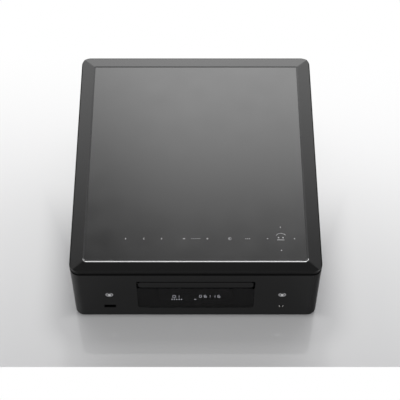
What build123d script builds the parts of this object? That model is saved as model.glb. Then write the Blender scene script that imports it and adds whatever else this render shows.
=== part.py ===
from build123d import *
import math
import os

# A compact CD receiver: a black box with a glass touch panel on top, a sloped rim round it, and a disc
# tray above a display window in the front. All sizes are millimetres. The origin is on the floor under
# the middle of the object, +X is right seen from the front, the front faces -Y, and +Z is up.

# Outer body
WIDTH = 280.0
DEPTH = 305.0
HEIGHT = 107.0
CORNER_R = 11.0
FOOT_H = 2.6
BAND_H = 5.5
RIM_DROP = 6.7
SKIRT_H = 1.2
RIM_FRONT = 10.4
RIM_SIDE = 15.7
RIM_BACK = 18.3
COVER_WALL = 2.4
COVER_FLOOR = 1.6
GLASS_T = 1.8
GLASS_R = 3.0
TRIM_W = 1.0
BAND_SETBACK = 0.8
BAND_WALL = 2.4
FRONT_WALL = 3.0
SIDE_WALL = 2.0
SHEET = 1.2
FRONT_RETURN = 16.0
WING_LIP = 3.0
REAR_BAY = 11.0
SEAT_GAP = 0.3

# Front controls and the display window
SLOT_W = 133.0
SLOT_DROP = 29.1
SLOT_H = 14.8
SLOT_R = 2.0
WINDOW_W = 132.0
WINDOW_Z0 = 19.9
WINDOW_R = 5.0
WINDOW_FLANGE = 3.0
WINDOW_FLANGE_T = 1.2
BUTTON_IN = 42.0
BUTTON_DROP = 15.3
BUTTON_R = 4.65
BUTTON_RUN = 0.08
BUTTON_TRAVEL = 1.2
BUTTON_COLLAR = 1.3
BUTTON_COLLAR_T = 1.0
BUTTON_STEM_R = 1.6
SWITCH_SIZE = 6.0
USB_OUT = 0.3
USB_Z = 23.5
USB_W = 13.5
USB_H = 5.8
USB_WALL = 0.4
USB_DEPTH = 16.0
JACK_OUT = 0.2
JACK_Z = 23.0
JACK_R = 2.85
JACK_BORE_R = 1.78
JACK_DEPTH = 14.0
JACK_BODY = 9.0
BOARD_T = 1.6
DISPLAY_W = 84.0
DISPLAY_H = 26.0
DISPLAY_DROP = 19.5
DISPLAY_T = 2.6
FRONT_BOARD_GAP = 4.7
FRONT_BOARD_IN = 26.0
FRONT_BOARD_Z0 = 11.0
FRONT_BOARD_DROP = 2.0
TOUCH_IN = 39.8
TOUCH_BOARD_D = 44.0

# Disc tray
DISC_IN = 68.5
TRAY_W = 128.0
TRAY_RISE = 2.5
TRAY_T = 7.0
TRAY_REACH = 112.0
TRAY_WALL = 3.0
TRAY_TRAVEL = 136.0
WELL_R = 61.0
WELL_FLOOR_T = 1.6
WELL_DEPTH = 3.2
SMALL_WELL_R = 40.5
SMALL_WELL_DEPTH = 0.6
PICKUP_SLOT_W = 40.0
PICKUP_SLOT_REACH = 92.0
REAR_BAR_DROP = 1.1
REAR_BAR_T = 2.3
TRAY_FRONT_T = 3.0
TRAY_FRONT_GAP = 1.2
TRAY_FRONT_SIDE = 1.0
TRAY_FRONT_IN = 0.2

# Loading gears, in module 1 teeth
MODULE = 1.0
RACK_X = -52.0
RACK_W = 5.0
RACK_RISE = 0.5
RACK_FRONT = 62.0
RACK_REACH = 105.0
GEAR_FRONT = 41.0
TRAY_GEAR_TEETH = 18
TRAY_WHEEL_TEETH = 26
PINION_TEETH = 12
GEAR_T = 3.2
PULLEY_R = 13.0
PULLEY_T = 4.0
GROOVE = 1.4
MOTOR_PULLEY_R = 3.8
MOTOR_X = 34.0
MOTOR_R = 12.0
MOTOR_H = 12.0
BELT_W = 1.2
AXLE_R = 1.5
AXLE_RUN = 0.06
GEAR_HUB_R = 4.0
WHEEL_GAP = 0.8
PINION_RISE = 1.0

# Loader frame and clamp bridge
LOADER_DROP = 14.5
DECK_T = 2.2
LOADER_LEAD = 57.0
LOADER_REACH = 126.0
LOADER_WALL = 3.0
TRAY_SIDE_RUN = 0.4
DECK_LEAD = 25.0
DECK_REACH = 96.0
LEDGE = 3.9
LIP = 2.8
RUN_GAP = 0.3
LOADER_RISE = 12.5
BRIDGE_T = 2.0
BRIDGE_D = 40.0
BRIDGE_HOLE_R = 10.2
CLAMPER_R = 13.0
CLAMPER_NECK_RUN = 0.4
CLAMPER_FLANGE_T = 1.6
CLAMPER_DISC_T = 2.2
CLAMP_RUN = 0.3

# Traverse, the tilting frame under the disc
PIVOT_REACH = 104.0
PIVOT_DROP = 6.5
PIVOT_R = 2.0
PIVOT_RUN = 0.05
TILT_DEG = 7.0
TRAVERSE_W = 72.0
TRAVERSE_LEAD = 19.0
TRAVERSE_REACH = 108.0
TRAVERSE_DROP = 5.9
TRAVERSE_T = 1.8
TRAVERSE_SKIRT = 6.0
TRAVERSE_REAR_SKIRT = 3.6
REAR_SKIRT_D = 16.0
PLATE_SLOT_IN = 12.0
PLATE_SLOT_L = 20.0
PLATE_SLOT_W = 8.0
PLATE_SLOT_SIDE = 6.0
TURNTABLE_R = 15.0
TURNTABLE_T = 2.0
HUB_R = 7.3
HUB_H = 2.1
SPINDLE_R = 1.0
SPINDLE_RUN = 0.05
SPINDLE_MOTOR_R = 11.5
SPINDLE_MOTOR_H = 9.0
SPINDLE_BOSS_R = 3.0
SPINDLE_BOSS_H = 6.0
DISC_LIFT = 0.8
ROD_X = 16.0
ROD_DROP = 1.3
ROD_R = 1.5
ROD_RUN = 0.06
ROD_LEAD = 6.0
ROD_REACH = 79.0
LUG_T = 3.0
LUG_W = 5.2
LENS_INNER = 24.0
SLED_TRAVEL = 34.0
SLED_W = 40.0
SLED_D = 26.0
SLED_DROP = 2.0
SLED_T = 5.0
OPTICS_W = 22.0
LENS_RISE = 2.8
LENS_R = 3.2
SLED_MODULE = 0.8
SLED_RACK_X = 22.2
SLED_RACK_W = 3.0
SLED_GEAR_TEETH = 14
SLED_MOTOR_TEETH = 8
SLED_GEAR_REACH = 44.0
SLED_GEAR_RISE = 0.4
SLED_GEAR_T = 3.0
SLED_MOTOR_R = 6.0
SLED_MOTOR_H = 9.0

# Cam slider, which lets the traverse down as the tray runs out
CAM_GAP = 1.8
CAM_T = 1.8
CAM_TRAVEL = 24.0
CAM_PIN_X = 52.0
CAM_PIN_LEAD = 5.0
CAM_PIN_R = 1.5
CAM_PIN_RUN = 0.25
CAM_SLOT_RUN = 0.45
CAM_MARGIN = 5.0
LIFT_PIN_DROP = 1.0
LIFT_PIN_L = 3.4
RIB_T = 1.4
RIB_RISE = 0.7

# Boards and what stands on them
BOARD_Z = 14.0
MAIN_IN = 10.0
MAIN_GAP = 4.0
MAIN_LEAD = 8.0
MAIN_REAR_IN = 5.5
POWER_GAP = 20.6
POWER_IN = 8.0
POWER_FRONT_IN = 26.5
STANDOFF_R = 3.0
CHIP_H = 1.6
CAN_R = 3.5
CAN_H = 12.0
SINK_H = 24.0
SINK_T = 3.0
SINK_LEAD = 40.0
SINK_STEP = 14.0
FUSE_LEAD = 90.0
FUSE_D = 14.0
HEATSINK_X = 30.0
HEATSINK_LEAD = 17.0
HEATSINK_W = 76.0
HEATSINK_SHARE = 0.4
HEATSINK_H = 30.0
FIN_T = 1.6
FIN_COUNT = 11
TRANSFORMER_REACH = 54.0
TRANSFORMER_H = 33.0
CAPACITOR_R = 11.0
CAPACITOR_H = 36.0
CAPACITOR_GAP = 34.0
CAPACITOR_STEP = 26.0

# Rear sockets
SOCKET_Z = 25.0
TERMINAL_X = 6.0
TERMINAL_STEP = 19.0
TERMINAL_CAP_R = 6.6
TERMINAL_CAP_L = 9.0
TERMINAL_TRAVEL = 3.5
TERMINAL_POST_R = 2.6
TERMINAL_COLLAR_R = 5.1
TERMINAL_PLATE_T = 3.0
POST_END = 1.5
TERMINAL_RUN = 0.08
BANANA_R = 2.02
BANANA_DEPTH = 17.0
PHONO_GAP = 26.0
PHONO_STEP = 16.0
PHONO_R = 4.15
PHONO_L = 8.5
OPTICAL_STEP = 28.0
OPTICAL_SIZE = 10.0
LAN_IN = 28.0
LAN_W = 15.9
LAN_H = 13.4
LAN_DEPTH = 17.0
LAN_OPEN_W = 11.8
LAN_OPEN_H = 8.0
AERIAL_Z = 56.0
AERIAL_R = 4.7
SOCKET_PLATE_SIDE = 15.0
SOCKET_PLATE_GAP = 3.7
SOCKET_PLATE_Z0 = 13.0
SOCKET_PLATE_RISE = 10.0
SOCKET_PLATE_LIP = 3.2
SOCKET_PLATE_TOP_LIP = 6.0
INLET_IN = 30.0
INLET_W = 24.0
INLET_H = 16.0
INLET_DEPTH = 16.0
VENT_COUNT = 15
VENT_W = 3.0
VENT_H = 22.0
VENT_STEP = 9.0
VENT_DROP = 19.6
VENT_SHIFT = 20.0

# Feet and screws
FOOT_R = 13.0
FOOT_IN = 28.0
FOOT_END_IN = 30.5
FOOT_HOLLOW_R = 5.0
SCREW_R = 1.5
SCREW_HEAD_R = 3.0
SCREW_HEAD_T = 1.4
SCREW_L = 6.0

# Places worked out from the sizes above
FRONT_Y = -DEPTH / 2
BACK_Y = DEPTH / 2
EDGE_Z = HEIGHT - RIM_DROP
COVER_Z0 = EDGE_Z - SKIRT_H
BODY_TOP = COVER_Z0 - BAND_H
GLASS_W = WIDTH - 2 * RIM_SIDE
GLASS_D = DEPTH - RIM_FRONT - RIM_BACK
GLASS_Y = (RIM_FRONT - RIM_BACK) / 2
FRONT_IN = FRONT_Y + FRONT_WALL
RETURN_Y = FRONT_Y + FRONT_RETURN
REAR_Y = BACK_Y - REAR_BAY
FLOOR_Z = FOOT_H + SHEET
SLOT_Z0 = BODY_TOP - SLOT_DROP
SLOT_Z1 = SLOT_Z0 + SLOT_H
BUTTON_X = WIDTH / 2 - BUTTON_IN
BUTTON_Z = SLOT_Z0 - BUTTON_DROP
USB_X = -BUTTON_X - USB_OUT
JACK_X = BUTTON_X + JACK_OUT
JACK_END = FRONT_Y + JACK_DEPTH + 2.0
DISPLAY_Z = SLOT_Z0 - DISPLAY_DROP
FRONT_BOARD_Y = FRONT_IN + FRONT_BOARD_GAP
FRONT_BOARD_W = WIDTH - 2 * FRONT_BOARD_IN
FRONT_BOARD_Z1 = SLOT_Z0 - FRONT_BOARD_DROP
TOUCH_Y = FRONT_Y + TOUCH_IN
DISC_Y = FRONT_Y + DISC_IN
RACK_Z0 = SLOT_Z0 + RACK_RISE
RIB_Z0 = SLOT_Z0 + RIB_RISE
TRAY_Z0 = SLOT_Z0 + TRAY_RISE
TRAY_Z1 = TRAY_Z0 + TRAY_T
TRAY_FRONT_Y = FRONT_Y + TRAY_FRONT_IN
TRAY_Y0 = TRAY_FRONT_Y + TRAY_FRONT_T
TRAY_REAR = DISC_Y + TRAY_REACH
PICKUP_SLOT_REAR = DISC_Y + PICKUP_SLOT_REACH
RACK_Y0 = DISC_Y - RACK_FRONT
RACK_Y1 = DISC_Y + RACK_REACH
WELL_Z = TRAY_Z1 - WELL_DEPTH
UNDER_Z = WELL_Z - WELL_FLOOR_T
BAR_Z1 = TRAY_Z1 - REAR_BAR_DROP
LOADER_Z0 = SLOT_Z0 - LOADER_DROP
LOADER_TOP = SLOT_Z0 + LOADER_RISE
LOADER_FRONT = DISC_Y - LOADER_LEAD
LOADER_REAR = DISC_Y + LOADER_REACH
DECK_FRONT_END = DISC_Y - DECK_LEAD
DECK_REAR_START = DISC_Y + DECK_REACH
DECK_Z1 = LOADER_Z0 + DECK_T
LOADER_IN = TRAY_W / 2 + TRAY_SIDE_RUN
LOADER_OUT = LOADER_IN + LOADER_WALL
GEAR_Y = DISC_Y - GEAR_FRONT
TRAY_GEAR_R = MODULE * TRAY_GEAR_TEETH / 2
TRAY_WHEEL_R = MODULE * TRAY_WHEEL_TEETH / 2
PINION_R = MODULE * PINION_TEETH / 2
TRAY_GEAR_X = RACK_X + TRAY_GEAR_R
PULLEY_X = TRAY_GEAR_X + TRAY_WHEEL_R + PINION_R
WHEEL_Z = DECK_Z1 + WHEEL_GAP
PULLEY_Z = WHEEL_Z + GEAR_T + PINION_RISE
DISC_Z = WELL_Z + DISC_LIFT
HUB_TOP = DISC_Z + HUB_H
CLAMPER_Z0 = TRAY_Z1 + CLAMP_RUN
PIVOT_Y = DISC_Y + PIVOT_REACH
PIVOT_Z = SLOT_Z0 - PIVOT_DROP
TRAVERSE_FRONT = DISC_Y - TRAVERSE_LEAD
TRAVERSE_REAR = DISC_Y + TRAVERSE_REACH
TRAVERSE_Z = SLOT_Z0 - TRAVERSE_DROP
ROD_Z = SLOT_Z0 - ROD_DROP
ROD_Y0 = DISC_Y + ROD_LEAD
ROD_Y1 = DISC_Y + ROD_REACH
LENS_Y = DISC_Y + LENS_INNER
SLED_Z0 = ROD_Z - SLED_DROP
LENS_TOP = SLED_Z0 + SLED_T + LENS_RISE
SLED_GEAR_Y = DISC_Y + SLED_GEAR_REACH
SLED_GEAR_Z = SLED_Z0 + SLED_GEAR_RISE
SLED_GEAR_R = SLED_MODULE * SLED_GEAR_TEETH / 2
SLED_MOTOR_GEAR_R = SLED_MODULE * SLED_MOTOR_TEETH / 2
SLED_GEAR_X = SLED_RACK_X + SLED_GEAR_R
SLED_MOTOR_Y = SLED_GEAR_Y - SLED_GEAR_R - SLED_MOTOR_GEAR_R
CAM_Y = TRAVERSE_FRONT - CAM_GAP
CAM_PIN_Y = TRAVERSE_FRONT - CAM_PIN_LEAD
LIFT_PIN_Z = PIVOT_Z - LIFT_PIN_DROP
BOARD_TOP = BOARD_Z + BOARD_T
POWER_X0 = LOADER_OUT + POWER_GAP
POWER_X1 = WIDTH / 2 - POWER_IN
POWER_X = (POWER_X0 + POWER_X1) / 2
POWER_HALF = (POWER_X1 - POWER_X0) / 2
POWER_Y0 = FRONT_Y + POWER_FRONT_IN
MAIN_X0 = -WIDTH / 2 + MAIN_IN
MAIN_X1 = POWER_X0 - MAIN_GAP
MAIN_Y0 = LOADER_REAR + MAIN_LEAD
MAIN_Y1 = REAR_Y - MAIN_REAR_IN
MAIN_D = MAIN_Y1 - MAIN_Y0
HEATSINK_Y0 = MAIN_Y0 + HEATSINK_LEAD
HEATSINK_D = HEATSINK_SHARE * MAIN_D
CHIP_SPACE = HEATSINK_X - HEATSINK_W / 2 - MAIN_X0
TRANSFORMER_Y = DISC_Y + TRANSFORMER_REACH
LAN_X = -WIDTH / 2 + LAN_IN
AERIAL_X = LAN_X
OPTICAL_X = LAN_X + OPTICAL_STEP
PHONO_X = OPTICAL_X + PHONO_GAP
SOCKET_PLATE_X0 = LAN_X - SOCKET_PLATE_SIDE
SOCKET_PLATE_X1 = OPTICAL_X + OPTICAL_SIZE + SOCKET_PLATE_GAP
SOCKET_PLATE_Z1 = AERIAL_Z + SOCKET_PLATE_RISE
INLET_X = WIDTH / 2 - INLET_IN
FOOT_X = WIDTH / 2 - FOOT_IN
FOOT_Y = DEPTH / 2 - FOOT_END_IN
VENT_Z = BODY_TOP - VENT_DROP


def block(x0, x1, y0, y1, z0, z1):
    """A box between two corners."""
    return Pos((x0 + x1) / 2, (y0 + y1) / 2, (z0 + z1) / 2) * Box(x1 - x0, y1 - y0, z1 - z0)


def rod_z(x, y, z0, z1, r):
    """A round bar along Z."""
    return Pos(x, y, (z0 + z1) / 2) * Cylinder(r, z1 - z0)


def rod_y(x, z, y0, y1, r):
    """A round bar along Y."""
    return Pos(x, (y0 + y1) / 2, z) * Rot(90, 0, 0) * Cylinder(r, y1 - y0)


def rod_x(y, z, x0, x1, r):
    """A round bar along X."""
    return Pos((x0 + x1) / 2, y, z) * Rot(0, 90, 0) * Cylinder(r, x1 - x0)


def plan_prism(inset, z0, z1):
    """The body's rounded plan outline, drawn in by inset and raised from z0 to z1."""
    outline = RectangleRounded(WIDTH - 2 * inset, DEPTH - 2 * inset, CORNER_R - inset)
    return Pos(0, 0, z0) * extrude(outline, amount=z1 - z0)


def ring_wall(inset, wall, z0, z1):
    """A wall that follows the plan outline."""
    return plan_prism(inset, z0, z1) - plan_prism(inset + wall, z0 - 1, z1 + 1)


def front_plate(x, z, w, h, r, y0, y1):
    """A plate with rounded corners that faces the front."""
    face = Plane((x, y1, z), x_dir=(1, 0, 0), z_dir=(0, -1, 0)) * RectangleRounded(w, h, r)
    return extrude(face, amount=y1 - y0)


def gear_face(teeth, module, slack=0.16, turn=0.0):
    """A spur gear's outline with straight-sided teeth. Its first tooth points along turn, in degrees."""
    pitch_r = module * teeth / 2
    step = 2 * math.pi / teeth
    half_root = step * 0.34
    half_pitch = step / 4 - slack / (2 * pitch_r)
    half_tip = half_pitch * 0.42
    points = []
    for tooth in range(teeth):
        mid = math.radians(turn) + tooth * step
        for radius, angle in ((pitch_r - 1.2 * module, -half_root), (pitch_r, -half_pitch),
                              (pitch_r + 0.85 * module, -half_tip), (pitch_r + 0.85 * module, half_tip),
                              (pitch_r, half_pitch), (pitch_r - 1.2 * module, half_root)):
            points.append((radius * math.cos(mid + angle), radius * math.sin(mid + angle)))
    return make_face(Polyline(*points, close=True))


def gear(x, y, z0, thick, teeth, module, turn=0.0):
    """A spur gear that stands on z0 about a vertical axle."""
    return Pos(x, y, z0) * extrude(gear_face(teeth, module, turn=turn), amount=thick)


def rack_teeth(pitch_x, y0, y1, gear_y, z0, z1, module, slack=0.16):
    """Rack teeth that point along +X, with a gap opposite the gear's axle."""
    step = math.pi * module
    half_pitch = step / 4 - slack / 2
    slope = 0.36 * module
    first = math.ceil((y0 - gear_y) / step - 0.5 + 0.35)
    last = math.floor((y1 - gear_y) / step - 0.5 - 0.35)
    teeth = []
    for index in range(first, last + 1):
        mid = gear_y + (index + 0.5) * step
        low, high = pitch_x - 1.25 * module, pitch_x + 0.8 * module
        outline = Polyline((low, mid - half_pitch - 1.25 * slope), (high, mid - half_pitch + 0.8 * slope),
                           (high, mid + half_pitch - 0.8 * slope), (low, mid + half_pitch + 1.25 * slope),
                           close=True)
        teeth.append(Pos(0, 0, z0) * extrude(make_face(outline), amount=z1 - z0))
    return teeth


def screw_z(x, y, z, up):
    """A pan-head screw along Z. Its head lies on z, on the side that up gives."""
    head = rod_z(x, y, min(z, z + up * SCREW_HEAD_T), max(z, z + up * SCREW_HEAD_T), SCREW_HEAD_R)
    cross = block(x - 1.6, x + 1.6, y - 0.3, y + 0.3, z - 9, z + 9)
    cross += block(x - 0.3, x + 0.3, y - 1.6, y + 1.6, z - 9, z + 9)
    socket = cross & rod_z(x, y, min(z + up * 0.6, z + up * 3), max(z + up * 0.6, z + up * 3), 2.4)
    return head - socket


def screw_y(x, y, z):
    """A pan-head screw whose head lies on the rear panel."""
    head = rod_y(x, z, y, y + SCREW_HEAD_T, SCREW_HEAD_R)
    cross = block(x - 1.6, x + 1.6, y + 0.6, y + 3, z - 0.3, z + 0.3)
    cross += block(x - 0.3, x + 0.3, y + 0.6, y + 3, z - 1.6, z + 1.6)
    return head - cross


# Housing

def top_cover():
    """The moulded lid: an upright skirt, a slope up to the glass on all four sides, and a pocket."""
    low = Pos(0, 0, EDGE_Z) * RectangleRounded(WIDTH, DEPTH, CORNER_R)
    high = Pos(0, GLASS_Y, HEIGHT) * RectangleRounded(GLASS_W, GLASS_D, GLASS_R)
    body = loft([low.face(), high.face()], ruled=True) + plan_prism(0, COVER_Z0, EDGE_Z)
    ceiling = HEIGHT - GLASS_T - COVER_FLOOR
    low_in = RectangleRounded(WIDTH - 2 * COVER_WALL, DEPTH - 2 * COVER_WALL, CORNER_R - COVER_WALL)
    high_in = RectangleRounded(GLASS_W - 2 * COVER_WALL, GLASS_D - 2 * COVER_WALL, GLASS_R)
    body -= loft([(Pos(0, 0, COVER_Z0) * low_in).face(), (Pos(0, GLASS_Y, ceiling) * high_in).face()],
                 ruled=True)
    pocket = RectangleRounded(GLASS_W - 0.4, GLASS_D - 0.4, GLASS_R - 0.2)
    return body - Pos(0, GLASS_Y, HEIGHT - GLASS_T) * extrude(pocket, amount=GLASS_T + 1)


def glass_trim():
    """The bright metal frame round the glass, with its upper outer edge cut at a slant."""
    outer = RectangleRounded(GLASS_W - 0.4, GLASS_D - 0.4, GLASS_R - 0.2)
    inner = RectangleRounded(GLASS_W - 2 * TRIM_W, GLASS_D - 2 * TRIM_W, GLASS_R - TRIM_W)
    frame = Pos(0, GLASS_Y, HEIGHT - GLASS_T) * extrude(outer - inner, amount=GLASS_T)
    top = frame.faces().sort_by(Axis.Z)[-1]
    return chamfer(top.outer_wire().edges(), 0.55)


def touch_glass():
    """The black glass touch panel, which lies in the cover's pocket inside the trim."""
    plate = RectangleRounded(GLASS_W - 2 * TRIM_W - 0.1, GLASS_D - 2 * TRIM_W - 0.1, GLASS_R - TRIM_W)
    glass = Pos(0, GLASS_Y, HEIGHT - GLASS_T) * extrude(plate, amount=GLASS_T - 0.2)
    return chamfer(glass.faces().sort_by(Axis.Z)[-1].edges(), 0.25)


def touch_board():
    """The sensor board that is glued under the cover's pocket, beneath the touch symbols."""
    ceiling = HEIGHT - GLASS_T - COVER_FLOOR
    half = GLASS_W / 2 - COVER_WALL - 6
    board = block(-half, half, TOUCH_Y - TOUCH_BOARD_D / 2 + 3, TOUCH_Y + TOUCH_BOARD_D / 2,
                  ceiling - BOARD_T, ceiling)
    chip = block(-6, 6, TOUCH_Y - 6, TOUCH_Y + 6, ceiling - BOARD_T - 1.4, ceiling - BOARD_T)
    plug = block(50, 66, TOUCH_Y + 8, TOUCH_Y + 13, ceiling - BOARD_T - 3, ceiling - BOARD_T)
    return board + chip + plug


def rear_gap(z0, z1):
    """The space between the two rear wings, open to the back."""
    half = WIDTH / 2 - CORNER_R - WING_LIP
    return block(-half, half, REAR_Y - 20, BACK_Y + 5, z0 - 1, z1 + 1)


def waist_band():
    """The narrow gloss step under the cover, on the front and both sides."""
    return ring_wall(BAND_SETBACK, BAND_WALL, BODY_TOP, COVER_Z0) - rear_gap(BODY_TOP, COVER_Z0)


def front_panel():
    """The moulded front with its rounded corners, tray slot, window opening and holes."""
    panel = ring_wall(0, FRONT_WALL, FOOT_H, BODY_TOP)
    panel -= block(-WIDTH, WIDTH, RETURN_Y, DEPTH, 0, HEIGHT)
    panel -= front_plate(0, (SLOT_Z0 + SLOT_Z1) / 2, SLOT_W, SLOT_H, SLOT_R, FRONT_Y - 1, FRONT_IN + 1)
    opening_h = SLOT_Z0 + SLOT_R - WINDOW_Z0
    panel -= front_plate(0, WINDOW_Z0 + opening_h / 2, WINDOW_W, opening_h, 0.5, FRONT_Y - 1, FRONT_IN + 1)
    corner = WINDOW_W / 2
    for side in (-1, 1):
        fill = block(*sorted((side * (corner - WINDOW_R), side * corner)), FRONT_Y, FRONT_IN,
                     WINDOW_Z0, WINDOW_Z0 + WINDOW_R)
        panel += fill - rod_y(side * (corner - WINDOW_R), WINDOW_Z0 + WINDOW_R, FRONT_Y - 1, FRONT_IN + 1,
                              WINDOW_R)
    for side in (-1, 1):
        panel -= rod_y(side * BUTTON_X, BUTTON_Z, FRONT_Y - 1, FRONT_IN + 1, BUTTON_R + BUTTON_RUN)
    panel -= front_plate(USB_X, USB_Z, USB_W + 0.3, USB_H + 0.3, 0.6, FRONT_Y - 1, FRONT_IN + 1)
    panel -= rod_y(JACK_X, JACK_Z, FRONT_Y - 1, FRONT_IN + 1, JACK_R + 0.1)
    for x, z in board_posts():
        panel += rod_y(x, z, FRONT_IN, FRONT_BOARD_Y, STANDOFF_R)
    return panel


def board_posts():
    """Where the front board is screwed to the panel."""
    reach = FRONT_BOARD_W / 2 - 4
    return [(side * reach, z) for side in (-1, 1) for z in (FRONT_BOARD_Z0 + 4, FRONT_BOARD_Z1 - 4)]


def side_panel(side):
    """One side wall, which turns round the rear corner into a short wing."""
    wall = ring_wall(0, SIDE_WALL, FOOT_H, BODY_TOP)
    wall -= block(-WIDTH, WIDTH, -DEPTH, RETURN_Y, 0, HEIGHT)
    wall -= rear_gap(FOOT_H, BODY_TOP)
    wall -= block(*sorted((side * -WIDTH, 0)), -DEPTH, DEPTH, 0, HEIGHT)
    inner = WIDTH / 2 - SIDE_WALL
    for y in (RETURN_Y + 30, 0, REAR_Y - 30):
        rib = block(*sorted((side * (inner - 2.0), side * inner)), y - 1, y + 1, FLOOR_Z + 14, BODY_TOP)
        wall += rib
    return wall


def rear_panel():
    """The steel rear wall with its socket openings and cooling slots."""
    half = WIDTH / 2 - SIDE_WALL
    panel = block(-half, half, REAR_Y - SHEET, REAR_Y, FLOOR_Z, BODY_TOP)
    half = WIDTH / 2 - BAND_SETBACK - BAND_WALL
    panel += block(-half, half, REAR_Y - SHEET, REAR_Y, BODY_TOP, COVER_Z0)
    for index in range(4):
        x = TERMINAL_X + index * TERMINAL_STEP
        panel -= rod_y(x, SOCKET_Z, REAR_Y - 3, REAR_Y + 3, TERMINAL_COLLAR_R + SEAT_GAP)
    for column in range(2):
        for row in range(2):
            panel -= rod_y(PHONO_X + column * PHONO_STEP, SOCKET_Z + row * PHONO_STEP, REAR_Y - 3,
                           REAR_Y + 3, PHONO_R + 0.3)
    panel -= block(SOCKET_PLATE_X0, SOCKET_PLATE_X1, REAR_Y - 3, REAR_Y + 3, SOCKET_PLATE_Z0,
                   SOCKET_PLATE_Z1)
    panel -= block(INLET_X - INLET_W / 2, INLET_X + INLET_W / 2, REAR_Y - 3, REAR_Y + 3,
                   BOARD_TOP, BOARD_TOP + INLET_H)
    first = -(VENT_COUNT - 1) * VENT_STEP / 2
    for index in range(VENT_COUNT):
        x = first + index * VENT_STEP + VENT_SHIFT
        panel -= front_plate(x, VENT_Z, VENT_W, VENT_H, VENT_W / 2 - 0.01, REAR_Y - 3, REAR_Y + 3)
    return panel


def socket_plate():
    """The network module's own steel plate, which lies behind a cut-out of the rear panel."""
    lip = SOCKET_PLATE_LIP
    y0, y1 = REAR_Y - 2 * SHEET, REAR_Y - SHEET
    plate = block(SOCKET_PLATE_X0 - lip, SOCKET_PLATE_X1 + lip, y0, y1, SOCKET_PLATE_Z0 - lip,
                  SOCKET_PLATE_Z1 + SOCKET_PLATE_TOP_LIP)
    plate = fillet(plate.edges().filter_by(Axis.Y), 1.0)
    for x in optical_places():
        plate -= block(x - OPTICAL_SIZE / 2, x + OPTICAL_SIZE / 2, y0 - 1, y1 + 1, BOARD_TOP,
                       BOARD_TOP + OPTICAL_SIZE)
    half = LAN_W / 2 + SEAT_GAP
    plate -= block(LAN_X - half, LAN_X + half, y0 - 1, y1 + 1, BOARD_TOP - SEAT_GAP,
                   BOARD_TOP + LAN_H + SEAT_GAP)
    return plate - rod_y(AERIAL_X, AERIAL_Z, y0 - 1, y1 + 1, AERIAL_R + SEAT_GAP)


def optical_places():
    """The middles of the two optical sockets."""
    first = OPTICAL_X - OPTICAL_SIZE / 2
    return [first, first + OPTICAL_SIZE + 2]


def bottom_chassis():
    """The steel base: a floor with upturned sides, cooling slots and posts for the boards."""
    edge = WIDTH / 2 - SIDE_WALL
    y0 = FRONT_IN
    floor = block(-edge, edge, y0, REAR_Y, FOOT_H, FLOOR_Z)
    floor &= plan_prism(FRONT_WALL, FOOT_H, FLOOR_Z) + block(-edge, edge, RETURN_Y, REAR_Y, FOOT_H, FLOOR_Z)
    chassis = floor
    for side in (-1, 1):
        chassis += block(*sorted((side * (edge - SHEET), side * edge)), RETURN_Y + 1, REAR_Y - SHEET,
                         FLOOR_Z, FLOOR_Z + 12)
    for x0 in (MAIN_X0 + 34, HEATSINK_X + 6):
        for index in range(7):
            x = x0 + index * VENT_STEP
            chassis -= block(x, x + VENT_W, MAIN_Y0 + 10, MAIN_Y1 - 32, 0, FLOOR_Z + 1)
    for x, y in main_posts() + power_posts():
        chassis += rod_z(x, y, FLOOR_Z, BOARD_Z, STANDOFF_R)
    for x, y in foot_places():
        chassis -= rod_z(x, y, 0, FLOOR_Z + 1, SCREW_R + 0.3)
    return chassis


def main_posts():
    """The posts under the main board."""
    return [(x, y) for x in (MAIN_X0 + 5, (MAIN_X0 + MAIN_X1) / 2, MAIN_X1 - 5)
            for y in (MAIN_Y0 + 5, MAIN_Y1 - 8)]


def power_posts():
    """The posts under the power supply board."""
    return [(x, y) for x in (POWER_X0 + 5, POWER_X1 - 5) for y in (POWER_Y0 + 5, 0, MAIN_Y1 - 8)]


def foot_places():
    """The middles of the four feet."""
    return [(sx * FOOT_X, sy * FOOT_Y) for sx in (-1, 1) for sy in (-1, 1)]


def rubber_feet():
    """Four flat rubber feet, each with a hollow in the middle for its screw."""
    feet = Part()
    for x, y in foot_places():
        foot = rod_z(x, y, 0, FOOT_H, FOOT_R)
        foot = chamfer(foot.edges().sort_by(Axis.Z)[0], 0.5)
        foot -= rod_z(x, y, -1, FOOT_H - 1.0, FOOT_HOLLOW_R)
        feet += foot - rod_z(x, y, -1, FOOT_H + 1, SCREW_R + 0.1)
    return feet


def foot_screws():
    """The screws that hold the feet to the chassis."""
    screws = Part()
    for x, y in foot_places():
        head = rod_z(x, y, FOOT_H - 2.2, FOOT_H - 1.0, SCREW_HEAD_R)
        screws += head + rod_z(x, y, FOOT_H - 1.0, FLOOR_Z + 2, SCREW_R)
    return screws


def rear_screws():
    """The screws round the rear panel."""
    screws = Part()
    edge = WIDTH / 2 - MAIN_IN
    between_left = (PHONO_X + PHONO_STEP + terminal_x(0)) / 2
    between_right = (terminal_x(3) + INLET_X) / 2
    for x in (-edge, between_left, between_right, edge):
        for z in (FLOOR_Z + 7.2, BODY_TOP - 3.6):
            screws += screw_y(x, REAR_Y, z)
    for x in (AERIAL_X, OPTICAL_X):
        screws += screw_y(x, REAR_Y, SOCKET_PLATE_Z1 + SOCKET_PLATE_TOP_LIP / 2)
    return screws


def base_screws():
    """The screws under the base that hold the loader's brackets and the side walls."""
    screws = Part()
    for x in (-LOADER_OUT + 7, LOADER_OUT - 7):
        for y in (bracket_y(0), bracket_y(1)):
            screws += screw_z(x, y + 6, FOOT_H, -1)
    edge = WIDTH / 2 - MAIN_IN + 2
    for x in (-edge, edge):
        for y in (DISC_Y + 14, 0, -DISC_Y - 14):
            screws += screw_z(x, y, FOOT_H, -1)
    return screws


# Front controls

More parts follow.
